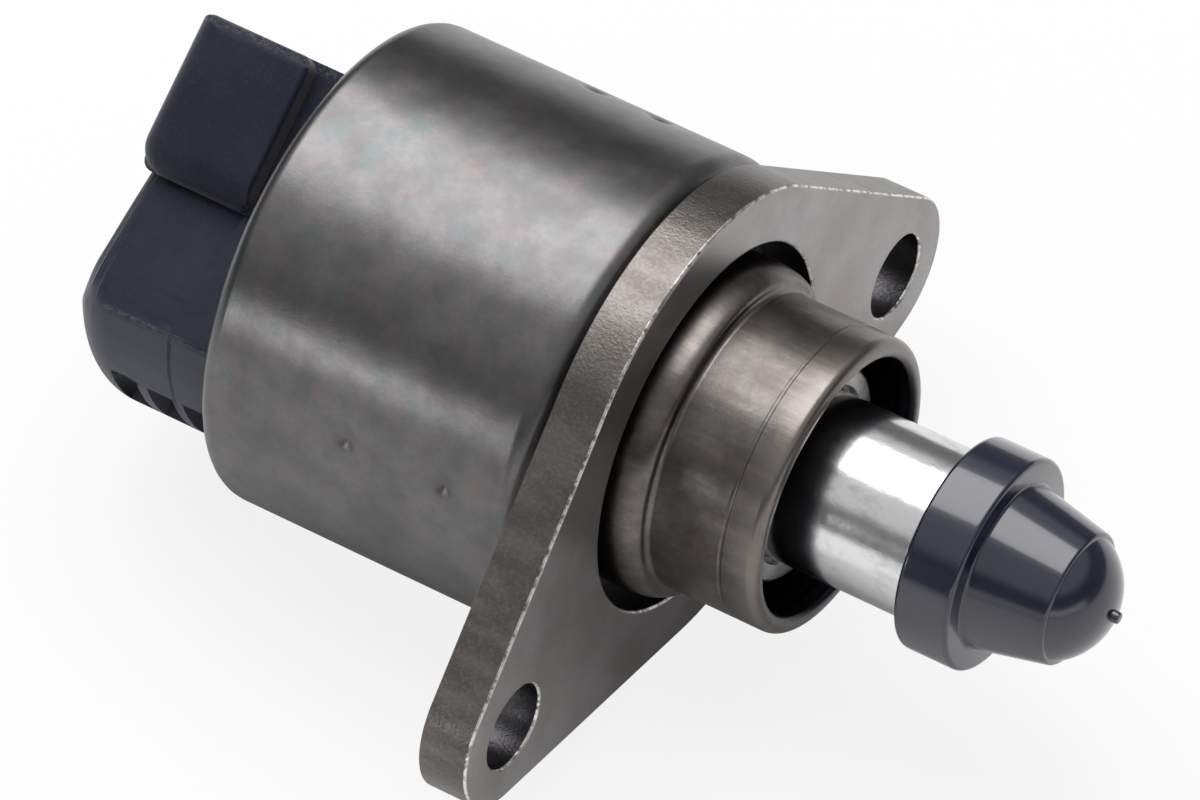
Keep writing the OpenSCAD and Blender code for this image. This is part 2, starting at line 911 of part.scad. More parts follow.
can();
flange();
nose_tube();
rear_cover();
terminal(0);  // terminal_1
terminal(1);  // terminal_2
terminal(2);  // terminal_3
terminal(3);  // terminal_4
front_outer_cup();
front_inner_cup();
rear_inner_cup();
rear_outer_cup();
front_bobbin();
rear_bobbin();
front_winding();
rear_winding();
bearing_plate();
bearing_outer_race();
bearing_inner_race();
bearing_balls();
bearing_cage();
rear_bush();
wave_washer();
guide_bush();
rotor_hub();
ring_magnet();
nut_insert();
lead_screw();
plunger_core();
plunger_sleeve();
pintle();
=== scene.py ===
"""Looks of the idle air control valve.

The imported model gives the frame. The pieces that show are modelled here with mesh operators, in
millimetres, and scaled to metres at the end. Every piece gets a finish, and a plain pale studio with
soft light stands round the valve, with the camera at the photograph's angle.
"""

import json
import logging
import math
from dataclasses import dataclass
from enum import Enum
from typing import Any, Callable, Iterable, Sequence, Union

import bmesh
import bpy
from mathutils import Matrix, Vector

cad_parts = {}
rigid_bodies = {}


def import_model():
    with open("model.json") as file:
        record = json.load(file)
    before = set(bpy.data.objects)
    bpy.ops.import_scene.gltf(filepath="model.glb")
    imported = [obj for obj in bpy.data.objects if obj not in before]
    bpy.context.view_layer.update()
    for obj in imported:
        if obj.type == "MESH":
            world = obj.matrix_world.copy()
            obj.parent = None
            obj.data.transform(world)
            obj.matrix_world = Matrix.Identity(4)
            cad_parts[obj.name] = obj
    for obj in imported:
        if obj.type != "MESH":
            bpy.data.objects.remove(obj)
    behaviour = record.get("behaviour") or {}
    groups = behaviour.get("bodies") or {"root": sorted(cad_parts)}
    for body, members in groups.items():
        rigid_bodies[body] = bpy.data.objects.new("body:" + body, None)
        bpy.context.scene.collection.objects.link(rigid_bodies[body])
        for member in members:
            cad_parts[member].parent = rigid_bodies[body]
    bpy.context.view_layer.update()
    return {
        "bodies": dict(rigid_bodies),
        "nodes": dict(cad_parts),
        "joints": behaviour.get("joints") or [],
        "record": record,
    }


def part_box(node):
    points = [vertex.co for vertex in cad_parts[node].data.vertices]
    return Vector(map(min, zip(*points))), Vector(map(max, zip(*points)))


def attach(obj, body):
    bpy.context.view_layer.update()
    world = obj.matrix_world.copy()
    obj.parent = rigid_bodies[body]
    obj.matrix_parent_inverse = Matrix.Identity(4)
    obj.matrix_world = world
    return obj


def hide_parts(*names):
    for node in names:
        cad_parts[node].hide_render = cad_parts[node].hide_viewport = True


LOG = logging.getLogger("valve")

MM = 0.001
PHOTO_WIDTH_PX = 1200
SENSOR_MM = 36.0
SHARP_DEG = 38.0
FACING = 0.9
FLAT_DEG = 0.4
SAME_PLACE_MM = 1e-5
ON_PLANE_MM = 1e-4
ON_RING_MM = 1e-3
WATTS_PER_RADIANCE = 4
WHITE = (1.0, 1.0, 1.0)
OPEN = math.inf

Pair = tuple[float, float]
Triple = tuple[float, float, float]
Colour = Triple
Circle = tuple[float, float, float, int]
Term = Union["Wire", float]


class Body(Enum):
    """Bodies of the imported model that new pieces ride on."""

    HOUSING = "housing"
    PLUNGER = "plunger"


class Slot(Enum):
    """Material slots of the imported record."""

    CAN = "can_steel"
    FLANGE = "flange_steel"
    NOSE = "nose_steel"
    MOULDING = "black_moulding"
    TERMINAL = "tinned_brass"
    STATOR = "stator_steel"
    BOBBIN = "bobbin_plastic"
    COPPER = "copper_wire"
    BEARING = "bearing_steel"
    BRONZE = "bronze"
    GUIDE = "guide_metal"
    MAGNET = "magnet"
    SLEEVE = "bright_sleeve"
    PINTLE = "pintle_plastic"


class Wire:
    """A shader socket that Python's operators combine with other sockets and numbers."""

    def __init__(self, graph: "Graph", socket: bpy.types.NodeSocket) -> None:
        """Keep the graph that new nodes go to, and the socket itself."""
        self.graph = graph
        self.socket = socket

    def math(self, operation: str, first: Term, second: Term = 0.0) -> "Wire":
        """Add one Math node.

        Args:
            operation: Name of the node's operation.
            first: Its first value.
            second: Its second value.

        Returns:
            The node's result.
        """
        return self.graph.node("ShaderNodeMath", {"operation": operation}, {0: first, 1: second})

    def __add__(self, other: Term) -> "Wire":
        """Sum of both."""
        return self.math("ADD", self, other)

    def __sub__(self, other: Term) -> "Wire":
        """Difference of both."""
        return self.math("SUBTRACT", self, other)

    def __rsub__(self, other: Term) -> "Wire":
        """Difference of both, with the number first."""
        return self.math("SUBTRACT", other, self)

    def __mul__(self, other: Term) -> "Wire":
        """Product of both."""
        return self.math("MULTIPLY", self, other)

    def __pow__(self, other: Term) -> "Wire":
        """This value to a power."""
        return self.math("POWER", self, other)

    def __abs__(self) -> "Wire":
        """This value without its sign."""
        return self.math("ABSOLUTE", self)

    def sine(self) -> "Wire":
        """Sine of this value in radians."""
        return self.math("SINE", self)

    def smooth(self, low: float, high: float) -> "Wire":
        """Rise smoothly from 0 to 1.

        Args:
            low: Value where the rise starts.
            high: Value where the rise ends.

        Returns:
            The eased share.
        """
        settings = {"interpolation_type": "SMOOTHSTEP"}
        inputs = {"Value": self, "From Min": low, "From Max": high}
        return self.graph.node("ShaderNodeMapRange", settings, inputs)


class Graph:
    """The node tree of a material or world, with one method that adds any node."""

    def __init__(self, tree: bpy.types.NodeTree) -> None:
        """Empty the tree and keep it."""
        self.tree = tree
        self.tree.nodes.clear()

    def node(
        self,
        kind: str,
        settings: dict[str, Any],
        inputs: dict[Union[int, str], Any],
        output: Union[int, str] = 0,
    ) -> Wire:
        """Add one node.

        Args:
            kind: Blender's name of the node's type.
            settings: Properties of the node, set before its inputs.
            inputs: Values or wires of its input sockets, by name or number.
            output: Name or number of the output that is used.

        Returns:
            The output as a wire.
        """
        made = self.tree.nodes.new(kind)
        for name, value in settings.items():
            setattr(made, name, value)
        for key, value in inputs.items():
            socket = made.inputs[key]
            if isinstance(value, Wire):
                self.tree.links.new(value.socket, socket)
            elif socket.type == "RGBA" and not isinstance(value, float):
                socket.default_value = (*value, 1.0)
            else:
                socket.default_value = value
        return Wire(self, made.outputs[output])

    def place(self) -> Wire:
        """Object coordinates in millimetres."""
        here = self.node("ShaderNodeTexCoord", {}, {}, "Object")
        return self.node("ShaderNodeMapping", {}, {"Vector": here, "Scale": (1 / MM, 1 / MM, 1 / MM)})

    def part(self, vector: Wire, axis: str) -> Wire:
        """One coordinate of a vector, named X, Y or Z."""
        return self.node("ShaderNodeSeparateXYZ", {}, {0: vector}, axis)

    def ray(self, kind: str) -> Wire:
        """Whether a ray of light is of a kind, such as Is Camera Ray."""
        return self.node("ShaderNodeLightPath", {}, {}, kind)

    def stretched(self, vector: Wire, scale: Triple, shift: float = 0.0) -> Wire:
        """Scale a vector along each axis.

        Args:
            vector: The vector.
            scale: Factors along X, Y and Z.
            shift: Distance by which the pattern is moved.

        Returns:
            The scaled vector.
        """
        inputs = {"Vector": vector, "Location": (shift, shift, shift), "Scale": scale}
        return self.node("ShaderNodeMapping", {}, inputs)

    def noise(self, vector: Wire, per_mm: float, detail: float = 3.0, rough: float = 0.55) -> Wire:
        """Soft noise.

        Args:
            vector: Where to read it, in millimetres.
            per_mm: Patches for each millimetre.
            detail: Octaves of finer noise.
            rough: Strength of the finer octaves.

        Returns:
            A value of about 0.3 to 0.7.
        """
        inputs = {"Vector": vector, "Scale": per_mm, "Detail": detail, "Roughness": rough}
        return self.node("ShaderNodeTexNoise", {}, inputs)

    def blend(self, share: Term, first: Union[Wire, Colour], second: Union[Wire, Colour]) -> Wire:
        """Mix two colours.

        Args:
            share: Share of the second colour.
            first: Colour at share 0.
            second: Colour at share 1.

        Returns:
            The mixed colour.
        """
        return self.node("ShaderNodeMix", {"data_type": "RGBA"}, {0: share, 6: first, 7: second}, 2)

    def bump(self, height: Wire, depth_mm: float = 1.0) -> Wire:
        """Relief from a height.

        Args:
            height: Height in millimetres, or as a share of the depth.
            depth_mm: Depth of the relief at height 1.

        Returns:
            The bent normal.
        """
        inputs = {"Strength": 1.0, "Distance": depth_mm * MM, "Height": height}
        return self.node("ShaderNodeBump", {}, inputs)

    def surface(self, values: dict[str, Any]) -> None:
        """Shade the surface with one Principled shader.

        Args:
            values: Values or wires of the shader's sockets.
        """
        shader = self.node("ShaderNodeBsdfPrincipled", {}, values)
        self.node_output("ShaderNodeOutputMaterial", shader)

    def node_output(self, kind: str, shader: Wire) -> None:
        """Join a shader to the tree's output node of the given kind."""
        end = self.tree.nodes.new(kind)
        self.tree.links.new(shader.socket, end.inputs["Surface"])


@dataclass(frozen=True)
class Finish:
    """A finish: a named material that is made once."""

    name: str
    slot: Slot

    def material(self) -> bpy.types.Material:
        """Fetch the material, and make it the first time.

        Returns:
            The material.
        """
        found = bpy.data.materials.get(self.name)
        if found is not None:
            return found
        made = bpy.data.materials.new(self.name)
        made.use_nodes = True
        self.paint(Graph(made.node_tree))
        return made

    def paint(self, graph: Graph) -> None:
        """Build the material's nodes; each kind of finish does this its own way."""
        raise NotImplementedError(self.name)


@dataclass(frozen=True)
class SatinSteel(Finish):
    """Dark coated sheet steel with cloudy tints and a fine grain."""

    dark: Colour
    light: Colour
    cool: Colour
    warm: Colour
    roughness: float
    cloud_per_mm: float = 0.16
    hue_shift: float = 31.0
    hue_share: float = 0.6
    speck_share: float = 0.35
    grain_mm: float = 0.006
    wave_mm: float = 0.05

    def tint(self, graph: Graph, here: Wire) -> Wire:
        """Cloudy colour of the coating.

        Args:
            graph: The material's graph.
            here: Object coordinates in millimetres.

        Returns:
            The base colour.
        """
        cloud = graph.noise(here, self.cloud_per_mm, detail=5.0, rough=0.6).smooth(0.3, 0.7)
        base = graph.blend(cloud, self.dark, self.light)
        elsewhere = graph.stretched(here, (1.0, 1.0, 1.0), self.hue_shift)
        hue = graph.noise(elsewhere, self.cloud_per_mm * 1.7, detail=3.0)
        base = graph.blend(hue.smooth(0.52, 0.72) * self.hue_share, base, self.cool)
        base = graph.blend((1.0 - hue).smooth(0.54, 0.74) * self.hue_share, base, self.warm)
        speck = graph.noise(here, 3.2, detail=3.0, rough=0.7).smooth(0.35, 0.75)
        return graph.blend(speck * self.speck_share, base, self.dark)

    def relief(self, graph: Graph, here: Wire) -> Wire:
        """Fine grain on gentle waves of the sheet.

        Args:
            graph: The material's graph.
            here: Object coordinates in millimetres.

        Returns:
            Height in millimetres.
        """
        grain = graph.noise(here, 5.5, detail=3.0, rough=0.65)
        wave = graph.noise(here, 0.22, detail=2.0, rough=0.4)
        return grain * self.grain_mm + wave * self.wave_mm

    def paint(self, graph: Graph) -> None:
        """Cloudy dark steel.

        Args:
            graph: The material's graph.
        """
        here = graph.place()
        cloud = graph.noise(here, self.cloud_per_mm * 2.5, detail=4.0)
        graph.surface({
            "Base Color": self.tint(graph, here),
            "Metallic": 1.0,
            "Roughness": cloud * 0.12 + (self.roughness - 0.06),
            "Normal": graph.bump(self.relief(graph, here)),
        })


@dataclass(frozen=True)
class BlankedSteel(SatinSteel):
    """Blanked plate steel, whose sheared edges are rougher and browner than its faces."""

    shear: Colour = (0.12, 0.108, 0.1)
    shear_light: Colour = (0.21, 0.195, 0.185)
    torn_mm: float = 0.035
    # Pale colour of the painted highlight along the rolled front edge.
    rim: Colour = (0.85, 0.82, 0.78)
    notches: tuple[Triple, ...] = ((10.96, -4.0, -2.0), (12.96, -1.7, 0.5))
    notch_turn: float = 45.73
    notch_mm: float = 0.12
    notch_shade_share: float = 0.7
    notch_fade: Pair = (0.04, 0.22)
    notch_end: float = 0.1
    bolt: Pair = (23.8, -7.0)
    # Dark colour of the painted shade on the bolt-hole walls.
    bore: Colour = (0.07, 0.068, 0.078)
    bore_shade_share: float = 0.8
    bore_shade_fade: Pair = (3.2, 3.4)
    face_fade: Pair = (0.25, 0.6)
    highlight_rise: Pair = (0.1, 0.3)
    highlight_fall: Pair = (0.75, 0.95)

    def notch(self, graph: Graph, here: Wire) -> Wire:
        """Thin notches across the upper edge beside the front bolt hole.

        Args:
            graph: The material's graph.
            here: Object coordinates in millimetres.

        Returns:
            Depth of the notches between 0 and 1.
        """
        turn = math.radians(self.notch_turn)
        x = graph.part(here, "X")
        along = graph.part(here, "Y") * math.sin(turn) - graph.part(here, "Z") * math.cos(turn)
        depth: Term = 0.0
        for place, back, front in self.notches:
            line = 1.0 - abs(along - place).smooth(*self.notch_fade)
            start = x.smooth(back - self.notch_end, back)
            stop = 1.0 - x.smooth(front, front + self.notch_end)
            depth = line * start * stop + depth
        return depth

    def bore_shade(self, graph: Graph, here: Wire) -> Wire:
        """Where painted shade darkens the wall of a bolt hole.

        Args:
            graph: The material's graph.
            here: Object coordinates in millimetres.

        Returns:
            1 in the hole and 0 away from it.
        """
        aside = abs(graph.part(here, "Y")) - self.bolt[0]
        off = (aside ** 2 + (graph.part(here, "Z") - self.bolt[1]) ** 2) ** 0.5
        return 1.0 - off.smooth(*self.bore_shade_fade)

    def paint(self, graph: Graph) -> None:
        """Smooth grey faces, a grained sheared edge, a painted front-edge highlight, painted shade in holes
        and notches.

        Args:
            graph: The material's graph.
        """
        here = graph.place()
        facing = graph.node("ShaderNodeTexCoord", {}, {}, "Normal")
        ahead = graph.part(facing, "X")
        edge = 1.0 - abs(ahead).smooth(*self.face_fade)
        torn = graph.noise(graph.stretched(here, (0.8, 1.0, 1.0)), 4.2, detail=3.0, rough=0.7)
        patch = graph.noise(graph.stretched(here, (0.4, 1.0, 1.0), 7.0), 0.5, detail=3.0)
        pale = torn.smooth(0.42, 0.68) * 0.4 + patch.smooth(0.4, 0.65) * 0.5
        shear = graph.blend(pale, self.shear, self.shear_light)
        # Painted shade: the bolt-hole walls are darkened.
        shear = graph.blend(self.bore_shade(graph, here) * self.bore_shade_share, shear, self.bore)
        colour = graph.blend(edge, self.tint(graph, here), shear)
        # Painted highlight: a pale, broken line along the rolled front edge, where it catches the light.
        painted_highlight = graph.noise(here, 1.3, detail=4.0, rough=0.7).smooth(0.4, 0.55)
        rim = ahead.smooth(*self.highlight_rise) * (1.0 - ahead.smooth(*self.highlight_fall)) * painted_highlight
        colour = graph.blend(rim, colour, self.rim)
        notch = self.notch(graph, here) * edge
        # Painted shade: the notch lines are darkened to the sheared edge's brown.
        colour = graph.blend(notch * self.notch_shade_share, colour, self.shear)
        height = self.relief(graph, here) + edge * torn * self.torn_mm - notch * self.notch_mm
        graph.surface({
            "Base Color": colour,
            "Metallic": 1.0,
            "Roughness": torn * 0.08 + (self.roughness - 0.04),
            "Normal": graph.bump(height),
        })


@dataclass(frozen=True)
class DrawnSteel(SatinSteel):
    """Drawn tube steel with faint marks along its axis, a painted mouth highlight and painted bore shade."""

    mouth_fade: Pair = (7.8, 10.0)
    # Pale colour of the painted highlight toward the mouth, where the lip's rounding catches light.
    painted_highlight: Colour = (0.26, 0.235, 0.215)
    painted_highlight_share: float = 0.55
    # Dark colour of the painted shade inside the bore.
    inside: Colour = (0.02, 0.02, 0.03)
    bore_shade_fade: Pair = (9.4, 9.9)
    streak_share: float = 0.5
    streak_mm: float = 0.012

    def paint(self, graph: Graph) -> None:
        """Brown steel with draw marks, a painted highlight at the mouth and painted shade in the bore.

        Args:
            graph: The material's graph.
        """
        here = graph.place()
        x = graph.part(here, "X")
        radius = (graph.part(here, "Y") ** 2.0 + graph.part(here, "Z") ** 2.0) ** 0.5
        streak = graph.noise(graph.stretched(here, (0.08, 1.0, 1.0)), 1.4, detail=4.0, rough=0.6)
        # Painted highlight: the front land toward the mouth is made paler.
        mouth_highlight = x.smooth(*self.mouth_fade)
        marks = streak.smooth(0.35, 0.7) * self.streak_share
        colour = graph.blend(marks, self.tint(graph, here), self.dark)
        colour = graph.blend(mouth_highlight * self.painted_highlight_share, colour, self.painted_highlight)
        # Painted shade: the inside of the bore is darkened.
        shaded_bore = 1.0 - radius.smooth(*self.bore_shade_fade)
        colour = graph.blend(shaded_bore, colour, self.inside)
        height = self.relief(graph, here) + streak * self.streak_mm
        graph.surface({
            "Base Color": colour,
            "Metallic": 1.0,
            "Roughness": streak * 0.14 + (self.roughness - 0.07),
            "Normal": graph.bump(height),
        })


@dataclass(frozen=True)
class BrightSteel(Finish):
    """Bright polished steel with faint turning rings and cloudy smudges."""

    colour: Colour
    smudge: Colour
    roughness: float
    ring_per_mm: float = 4.0
    ring_mm: float = 0.0001
    fine_mm: float = 0.002
    smudge_mm: float = 0.02

    def paint(self, graph: Graph) -> None:
        """Polished metal with smudges.

        Args:
            graph: The material's graph.
        """
        here = graph.place()
        x = graph.part(here, "X")
        ring = (x * (2 * math.pi * self.ring_per_mm)).sine()
        smudge = graph.noise(graph.stretched(here, (0.7, 1.0, 1.0)), 0.7, detail=5.0, rough=0.65)
        fine = graph.noise(here, 6.0, detail=2.0)
        height = ring * self.ring_mm + fine * self.fine_mm + smudge * self.smudge_mm
        graph.surface({
            "Base Color": graph.blend(smudge.smooth(0.45, 0.7), self.colour, self.smudge),
            "Metallic": 1.0,
            "Roughness": smudge * 0.22 + (self.roughness - 0.1),
            "Normal": graph.bump(height),
        })


@dataclass(frozen=True)
class Moulding(Finish):
    """Moulded plastic with a fine speckled skin."""

    colour: Colour
    pale: Colour
    roughness: float
    grain_mm: float = 0.012
    gloss: float = 0.0
    index: float = 1.5
    dust: float = 0.0
    gloss_roughness: float = 0.07
    dust_roughness: float = 0.4

    def tint(self, graph: Graph, here: Wire, speck: Wire) -> Wire:
        """Mix the plastic's two colours.

        Args:
            graph: The material's graph.
            here: Object coordinates in millimetres.
            speck: Fine speckle.

        Returns:
            The colour.
        """
        bloom = graph.noise(here, 0.18, detail=3.0).smooth(0.4, 0.7)
        return graph.blend(speck.smooth(0.5, 0.7) * 0.6 + bloom * 0.3, self.colour, self.pale)

    def paint(self, graph: Graph) -> None:
        """Speckled plastic with a soft bloom.

        Args:
            graph: The material's graph.
        """
        here = graph.place()
        speck = graph.noise(here, 3.4, detail=5.0, rough=0.75)
        fine = graph.noise(here, 7.0, detail=2.0)
        height = speck * self.grain_mm + fine * (self.grain_mm * 0.4)
        graph.surface({
            "Base Color": self.tint(graph, here, speck),
            "Metallic": 0.0,
            "Roughness": speck * 0.16 + (self.roughness - 0.08),
            "IOR": self.index,
            "Coat Weight": self.gloss,
            "Coat Roughness": self.gloss_roughness,
            "Sheen Weight": self.dust,
            "Sheen Roughness": self.dust_roughness,
            "Normal": graph.bump(height),
        })


@dataclass(frozen=True)
class CoverMoulding(Moulding):
    """Moulded rear cover plastic: parting seam, painted floor light underneath, painted ridge and rim
    highlights.
    """

    # Pale colour of the painted highlights on the ridge and the socket rim.
    painted_edge_highlight: Colour = (0.08, 0.083, 0.1)
    painted_edge_highlight_share: float = 0.75
    # Paler colour of the painted floor light on the cover's underside.
    painted_floor_light: Colour = (0.068, 0.071, 0.09)
    painted_floor_light_share: float = 0.7
    painted_floor_light_fade: Pair = (3.25, 2.35)
    seam_x: float = -33.3
    seam_fade: Pair = (0.208, 0.091)
    seam_share: float = 0.85
    ridge: Pair = (-14.25, 2.95)
    ridge_fade: Pair = (0.32, 0.096)
    rim_turn: float = 35.0
    rim_fade: Pair = (10.0, 10.5)

    def tint(self, graph: Graph, here: Wire, speck: Wire) -> Wire:
        """Mix the plastic's colours with the seam, painted floor light underneath and painted edge
        highlights.

        Args:
            graph: The material's graph.
            here: Object coordinates in millimetres.
            speck: Fine speckle.

        Returns:
            The colour.
        """
        x = graph.part(here, "X")
        y = graph.part(here, "Y")
        z = graph.part(here, "Z")
        skin = super().tint(graph, here, speck)
        # Painted floor light: the underside is made paler.
        below = z.smooth(*self.painted_floor_light_fade)
        skin = graph.blend(below * self.painted_floor_light_share, skin, self.painted_floor_light)
        # Painted highlight: a broken pale line along the ridge and the socket rim.
        ridge_off = ((y - self.ridge[0]) ** 2 + (z - self.ridge[1]) ** 2) ** 0.5
        on_ridge = ridge_off.smooth(*self.ridge_fade)
        turn = math.radians(self.rim_turn)
        level = y * math.cos(turn) + z * math.sin(turn)
        on_rim = level.smooth(*self.rim_fade)
        edge_highlight_mask = (on_ridge + on_rim) * speck.smooth(0.4, 0.66)
        skin = graph.blend(edge_highlight_mask * self.painted_edge_highlight_share, skin, self.painted_edge_highlight)
        seam = abs(x - self.seam_x).smooth(*self.seam_fade) * below
        return graph.blend(seam * self.seam_share, skin, self.colour)


@dataclass(frozen=True)
class PlainMetal(Finish):
    """Machined or stamped metal of the inner works."""

    colour: Colour
    dull: Colour
    roughness: float
    grain_mm: float = 0.004

    def paint(self, graph: Graph) -> None:
        """Clean metal with a light stain.

        Args:
            graph: The material's graph.
        """
        here = graph.place()
        stain = graph.noise(here, 0.6, detail=4.0)
        grain = graph.noise(here, 5.0, detail=2.0)
        graph.surface({
            "Base Color": graph.blend(stain.smooth(0.4, 0.7), self.colour, self.dull),
            "Metallic": 1.0,
            "Roughness": stain * 0.15 + (self.roughness - 0.07),
            "Normal": graph.bump(grain, self.grain_mm),
        })


@dataclass(frozen=True)
class WoundWire(Finish):
    """Enamelled copper wire, wound in even turns along the axis."""

    colour: Colour
    # Dark colour of the painted shade between the turns.
    shade: Colour
    wire_mm: float = 0.2
    roughness: float = 0.22
    enamel: float = 0.6
    enamel_roughness: float = 0.1

    def paint(self, graph: Graph) -> None:
        """Turns of copper wire, with painted shade between the turns.

        Args:
            graph: The material's graph.
        """
        here = graph.place()
        # Painted shade: the copper darkens between the turns.
        turn = abs((graph.part(here, "X") * (math.pi / self.wire_mm)).sine())
        tone = graph.noise(here, 0.5, detail=3.0)
        graph.surface({
            "Base Color": graph.blend(turn * 0.7 + tone * 0.3, self.shade, self.colour),
            "Metallic": 1.0,
            "Roughness": tone * 0.1 + self.roughness,
            "Coat Weight": self.enamel,
            "Coat Roughness": self.enamel_roughness,
            "Normal": graph.bump(turn, self.wire_mm * 0.4),
        })


CAN_STEEL = SatinSteel(
    "finish_can_steel", Slot.CAN,
    dark=(0.122, 0.118, 0.12), light=(0.175, 0.168, 0.17),
    cool=(0.118, 0.146, 0.145), warm=(0.18, 0.145, 0.148), roughness=0.31, cloud_per_mm=0.3,
)
FLANGE_STEEL = BlankedSteel(
    "finish_flange_steel", Slot.FLANGE,
    dark=(0.27, 0.25, 0.245), light=(0.36, 0.345, 0.345),
    cool=(0.33, 0.33, 0.34), warm=(0.31, 0.27, 0.25), roughness=0.32, wave_mm=0.02,
)
NOSE_STEEL = DrawnSteel(
    "finish_nose_steel", Slot.NOSE,
    dark=(0.1, 0.09, 0.086), light=(0.2, 0.183, 0.172),
    cool=(0.17, 0.175, 0.17), warm=(0.21, 0.17, 0.15), roughness=0.3, cloud_per_mm=0.3, wave_mm=0.03,
)
GUIDE_METAL = PlainMetal(
    "finish_guide_metal", Slot.GUIDE,
    colour=(0.5, 0.49, 0.48), dull=(0.33, 0.32, 0.31), roughness=0.3,
)
SLEEVE_STEEL = BrightSteel(
    "finish_bright_sleeve", Slot.SLEEVE,
    colour=(0.8, 0.79, 0.8), smudge=(0.6, 0.61, 0.63), roughness=0.17,
)
COVER_MOULDING = CoverMoulding(
    "finish_black_moulding", Slot.MOULDING,
    colour=(0.003, 0.004, 0.018), pale=(0.02, 0.022, 0.036), roughness=0.68, grain_mm=0.02,
    index=1.36, dust=0.3,
)
PINTLE_PLASTIC = Moulding(
    "finish_pintle_plastic", Slot.PINTLE,
    colour=(0.003, 0.0045, 0.022), pale=(0.01, 0.012, 0.028), roughness=0.2, grain_mm=0.006,
    gloss=0.8, index=1.58,
)
TERMINAL_TIN = PlainMetal(
    "finish_tinned_brass", Slot.TERMINAL,
    colour=(0.7, 0.66, 0.52), dull=(0.5, 0.46, 0.36), roughness=0.25,
)
STATOR_STEEL = PlainMetal(
    "finish_stator_steel", Slot.STATOR,
    colour=(0.5, 0.5, 0.52), dull=(0.36, 0.36, 0.37), roughness=0.32,
)
BOBBIN_PLASTIC = Moulding(
    "finish_bobbin_plastic", Slot.BOBBIN,
    colour=(0.62, 0.58, 0.48), pale=(0.72, 0.69, 0.6), roughness=0.4,
)
COPPER_WIRE = WoundWire(
    "finish_copper_wire", Slot.COPPER,
    colour=(0.75, 0.36, 0.16), shade=(0.28, 0.09, 0.04),
)
BEARING_STEEL = PlainMetal(
    "finish_bearing_steel", Slot.BEARING,
    colour=(0.62, 0.62, 0.64), dull=(0.5, 0.5, 0.52), roughness=0.16,
)
BRONZE = PlainMetal(
    "finish_bronze", Slot.BRONZE,
    colour=(0.55, 0.38, 0.18), dull=(0.36, 0.24, 0.12), roughness=0.34,
)
MAGNET = PlainMetal(
    "finish_magnet", Slot.MAGNET,
    colour=(0.1, 0.1, 0.105), dull=(0.06, 0.06, 0.062), roughness=0.45,
)


@dataclass(frozen=True)
class Corner:
    """A corner of a turned profile in millimetres: place on the axis, radius and rounding."""

    x: float
    r: float
    round: float = 0.0
    steps: int = 4


@dataclass(frozen=True)
class Extent:
    """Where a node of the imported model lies, in millimetres."""

    x0: float
    x1: float
    radius: float

    @classmethod
    def of(cls, node: str) -> "Extent":
        """Read a node's place from the frame.

        Args:
            node: The node's name.

        Returns:
            Its ends on the valve axis and half its width.
        """
        low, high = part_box(node)
        return cls(low.x / MM, high.x / MM, (high.y - low.y) / MM / 2)


def turned(corners: Sequence[Corner], segments: int, closed: bool = True) -> bmesh.types.BMesh:
    """Turn a profile about the valve axis and round its corners.

    Args:
        corners: The profile's corners in order.
        segments: Number of faces round the axis.
        closed: Whether the last corner joins the first; a profile that ends on the axis stays open.

    Returns:
        The turned shape in millimetres.
    """
    bm = bmesh.new()
    points = [bm.verts.new((corner.x, corner.r, 0.0)) for corner in corners]
    for first, second in zip(points, points[1:]):
        bm.edges.new((first, second))
    if closed:
        bm.edges.new((points[-1], points[0]))
    bmesh.ops.spin(
        bm, geom=bm.verts[:] + bm.edges[:], cent=(0, 0, 0), axis=(1, 0, 0), dvec=(0, 0, 0),
        angle=2 * math.pi, steps=segments, use_merge=True, use_duplicate=False,
    )
    bmesh.ops.remove_doubles(bm, verts=bm.verts, dist=SAME_PLACE_MM)
    bmesh.ops.recalc_face_normals(bm, faces=bm.faces)
    for corner in corners:
        if corner.round > 0:
            round_ring(bm, corner)
    return bm


def round_ring(bm: bmesh.types.BMesh, corner: Corner) -> None:
    """Bevel the ring of edges that a corner of the profile made.

    Args:
        bm: The turned shape.
        corner: The corner with its rounding.
    """
    def on_ring(vert: bmesh.types.BMVert) -> bool:
        """Whether a vertex lies on the corner's ring."""
        radius = math.hypot(vert.co.y, vert.co.z)
        return abs(vert.co.x - corner.x) < ON_PLANE_MM and abs(radius - corner.r) < ON_RING_MM

    ring = [edge for edge in bm.edges if on_ring(edge.verts[0]) and on_ring(edge.verts[1])]
    bmesh.ops.bevel(
        bm, geom=ring, offset=corner.round, offset_type="OFFSET", segments=corner.steps,
        profile=0.5, affect="EDGES", clamp_overlap=True, material=-1,
    )


def show(name: str, data: bpy.types.ID) -> bpy.types.Object:
    """Put an object with the given data in the scene.

    Args:
        name: Name of the object.
        data: Its mesh, lamp or camera.

    Returns:
        The new object.
    """
    made = bpy.data.objects.new(name, data)
    bpy.context.scene.collection.objects.link(made)
    return made


def add_piece(
    bm: bmesh.types.BMesh,
    name: str,
    body: Body,
    finish: Finish,
    nodes: Iterable[str],
) -> bpy.types.Object:
    """Turn a finished mesh into a piece of the scene.

    Args:
        bm: The shape in millimetres; it is freed.
        name: Name of the piece.
        body: Body that it rides on.
        finish: Its finish.
        nodes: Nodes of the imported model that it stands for.

    Returns:
        The new object.
    """
    bmesh.ops.scale(bm, vec=(MM, MM, MM), verts=bm.verts)
    mesh = bpy.data.meshes.new(name)
    bm.to_mesh(mesh)
    bm.free()
    mesh.shade_smooth()
    mesh.set_sharp_from_angle(angle=math.radians(SHARP_DEG))
    mesh.materials.append(finish.material())
    piece = show(name, mesh)
    weighted = piece.modifiers.new("weighted_normals", "WEIGHTED_NORMAL")
    weighted.keep_sharp = True
    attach(piece, body.value)
    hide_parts(*nodes)
    LOG.info("%s: %d faces", name, len(mesh.polygons))
    return piece


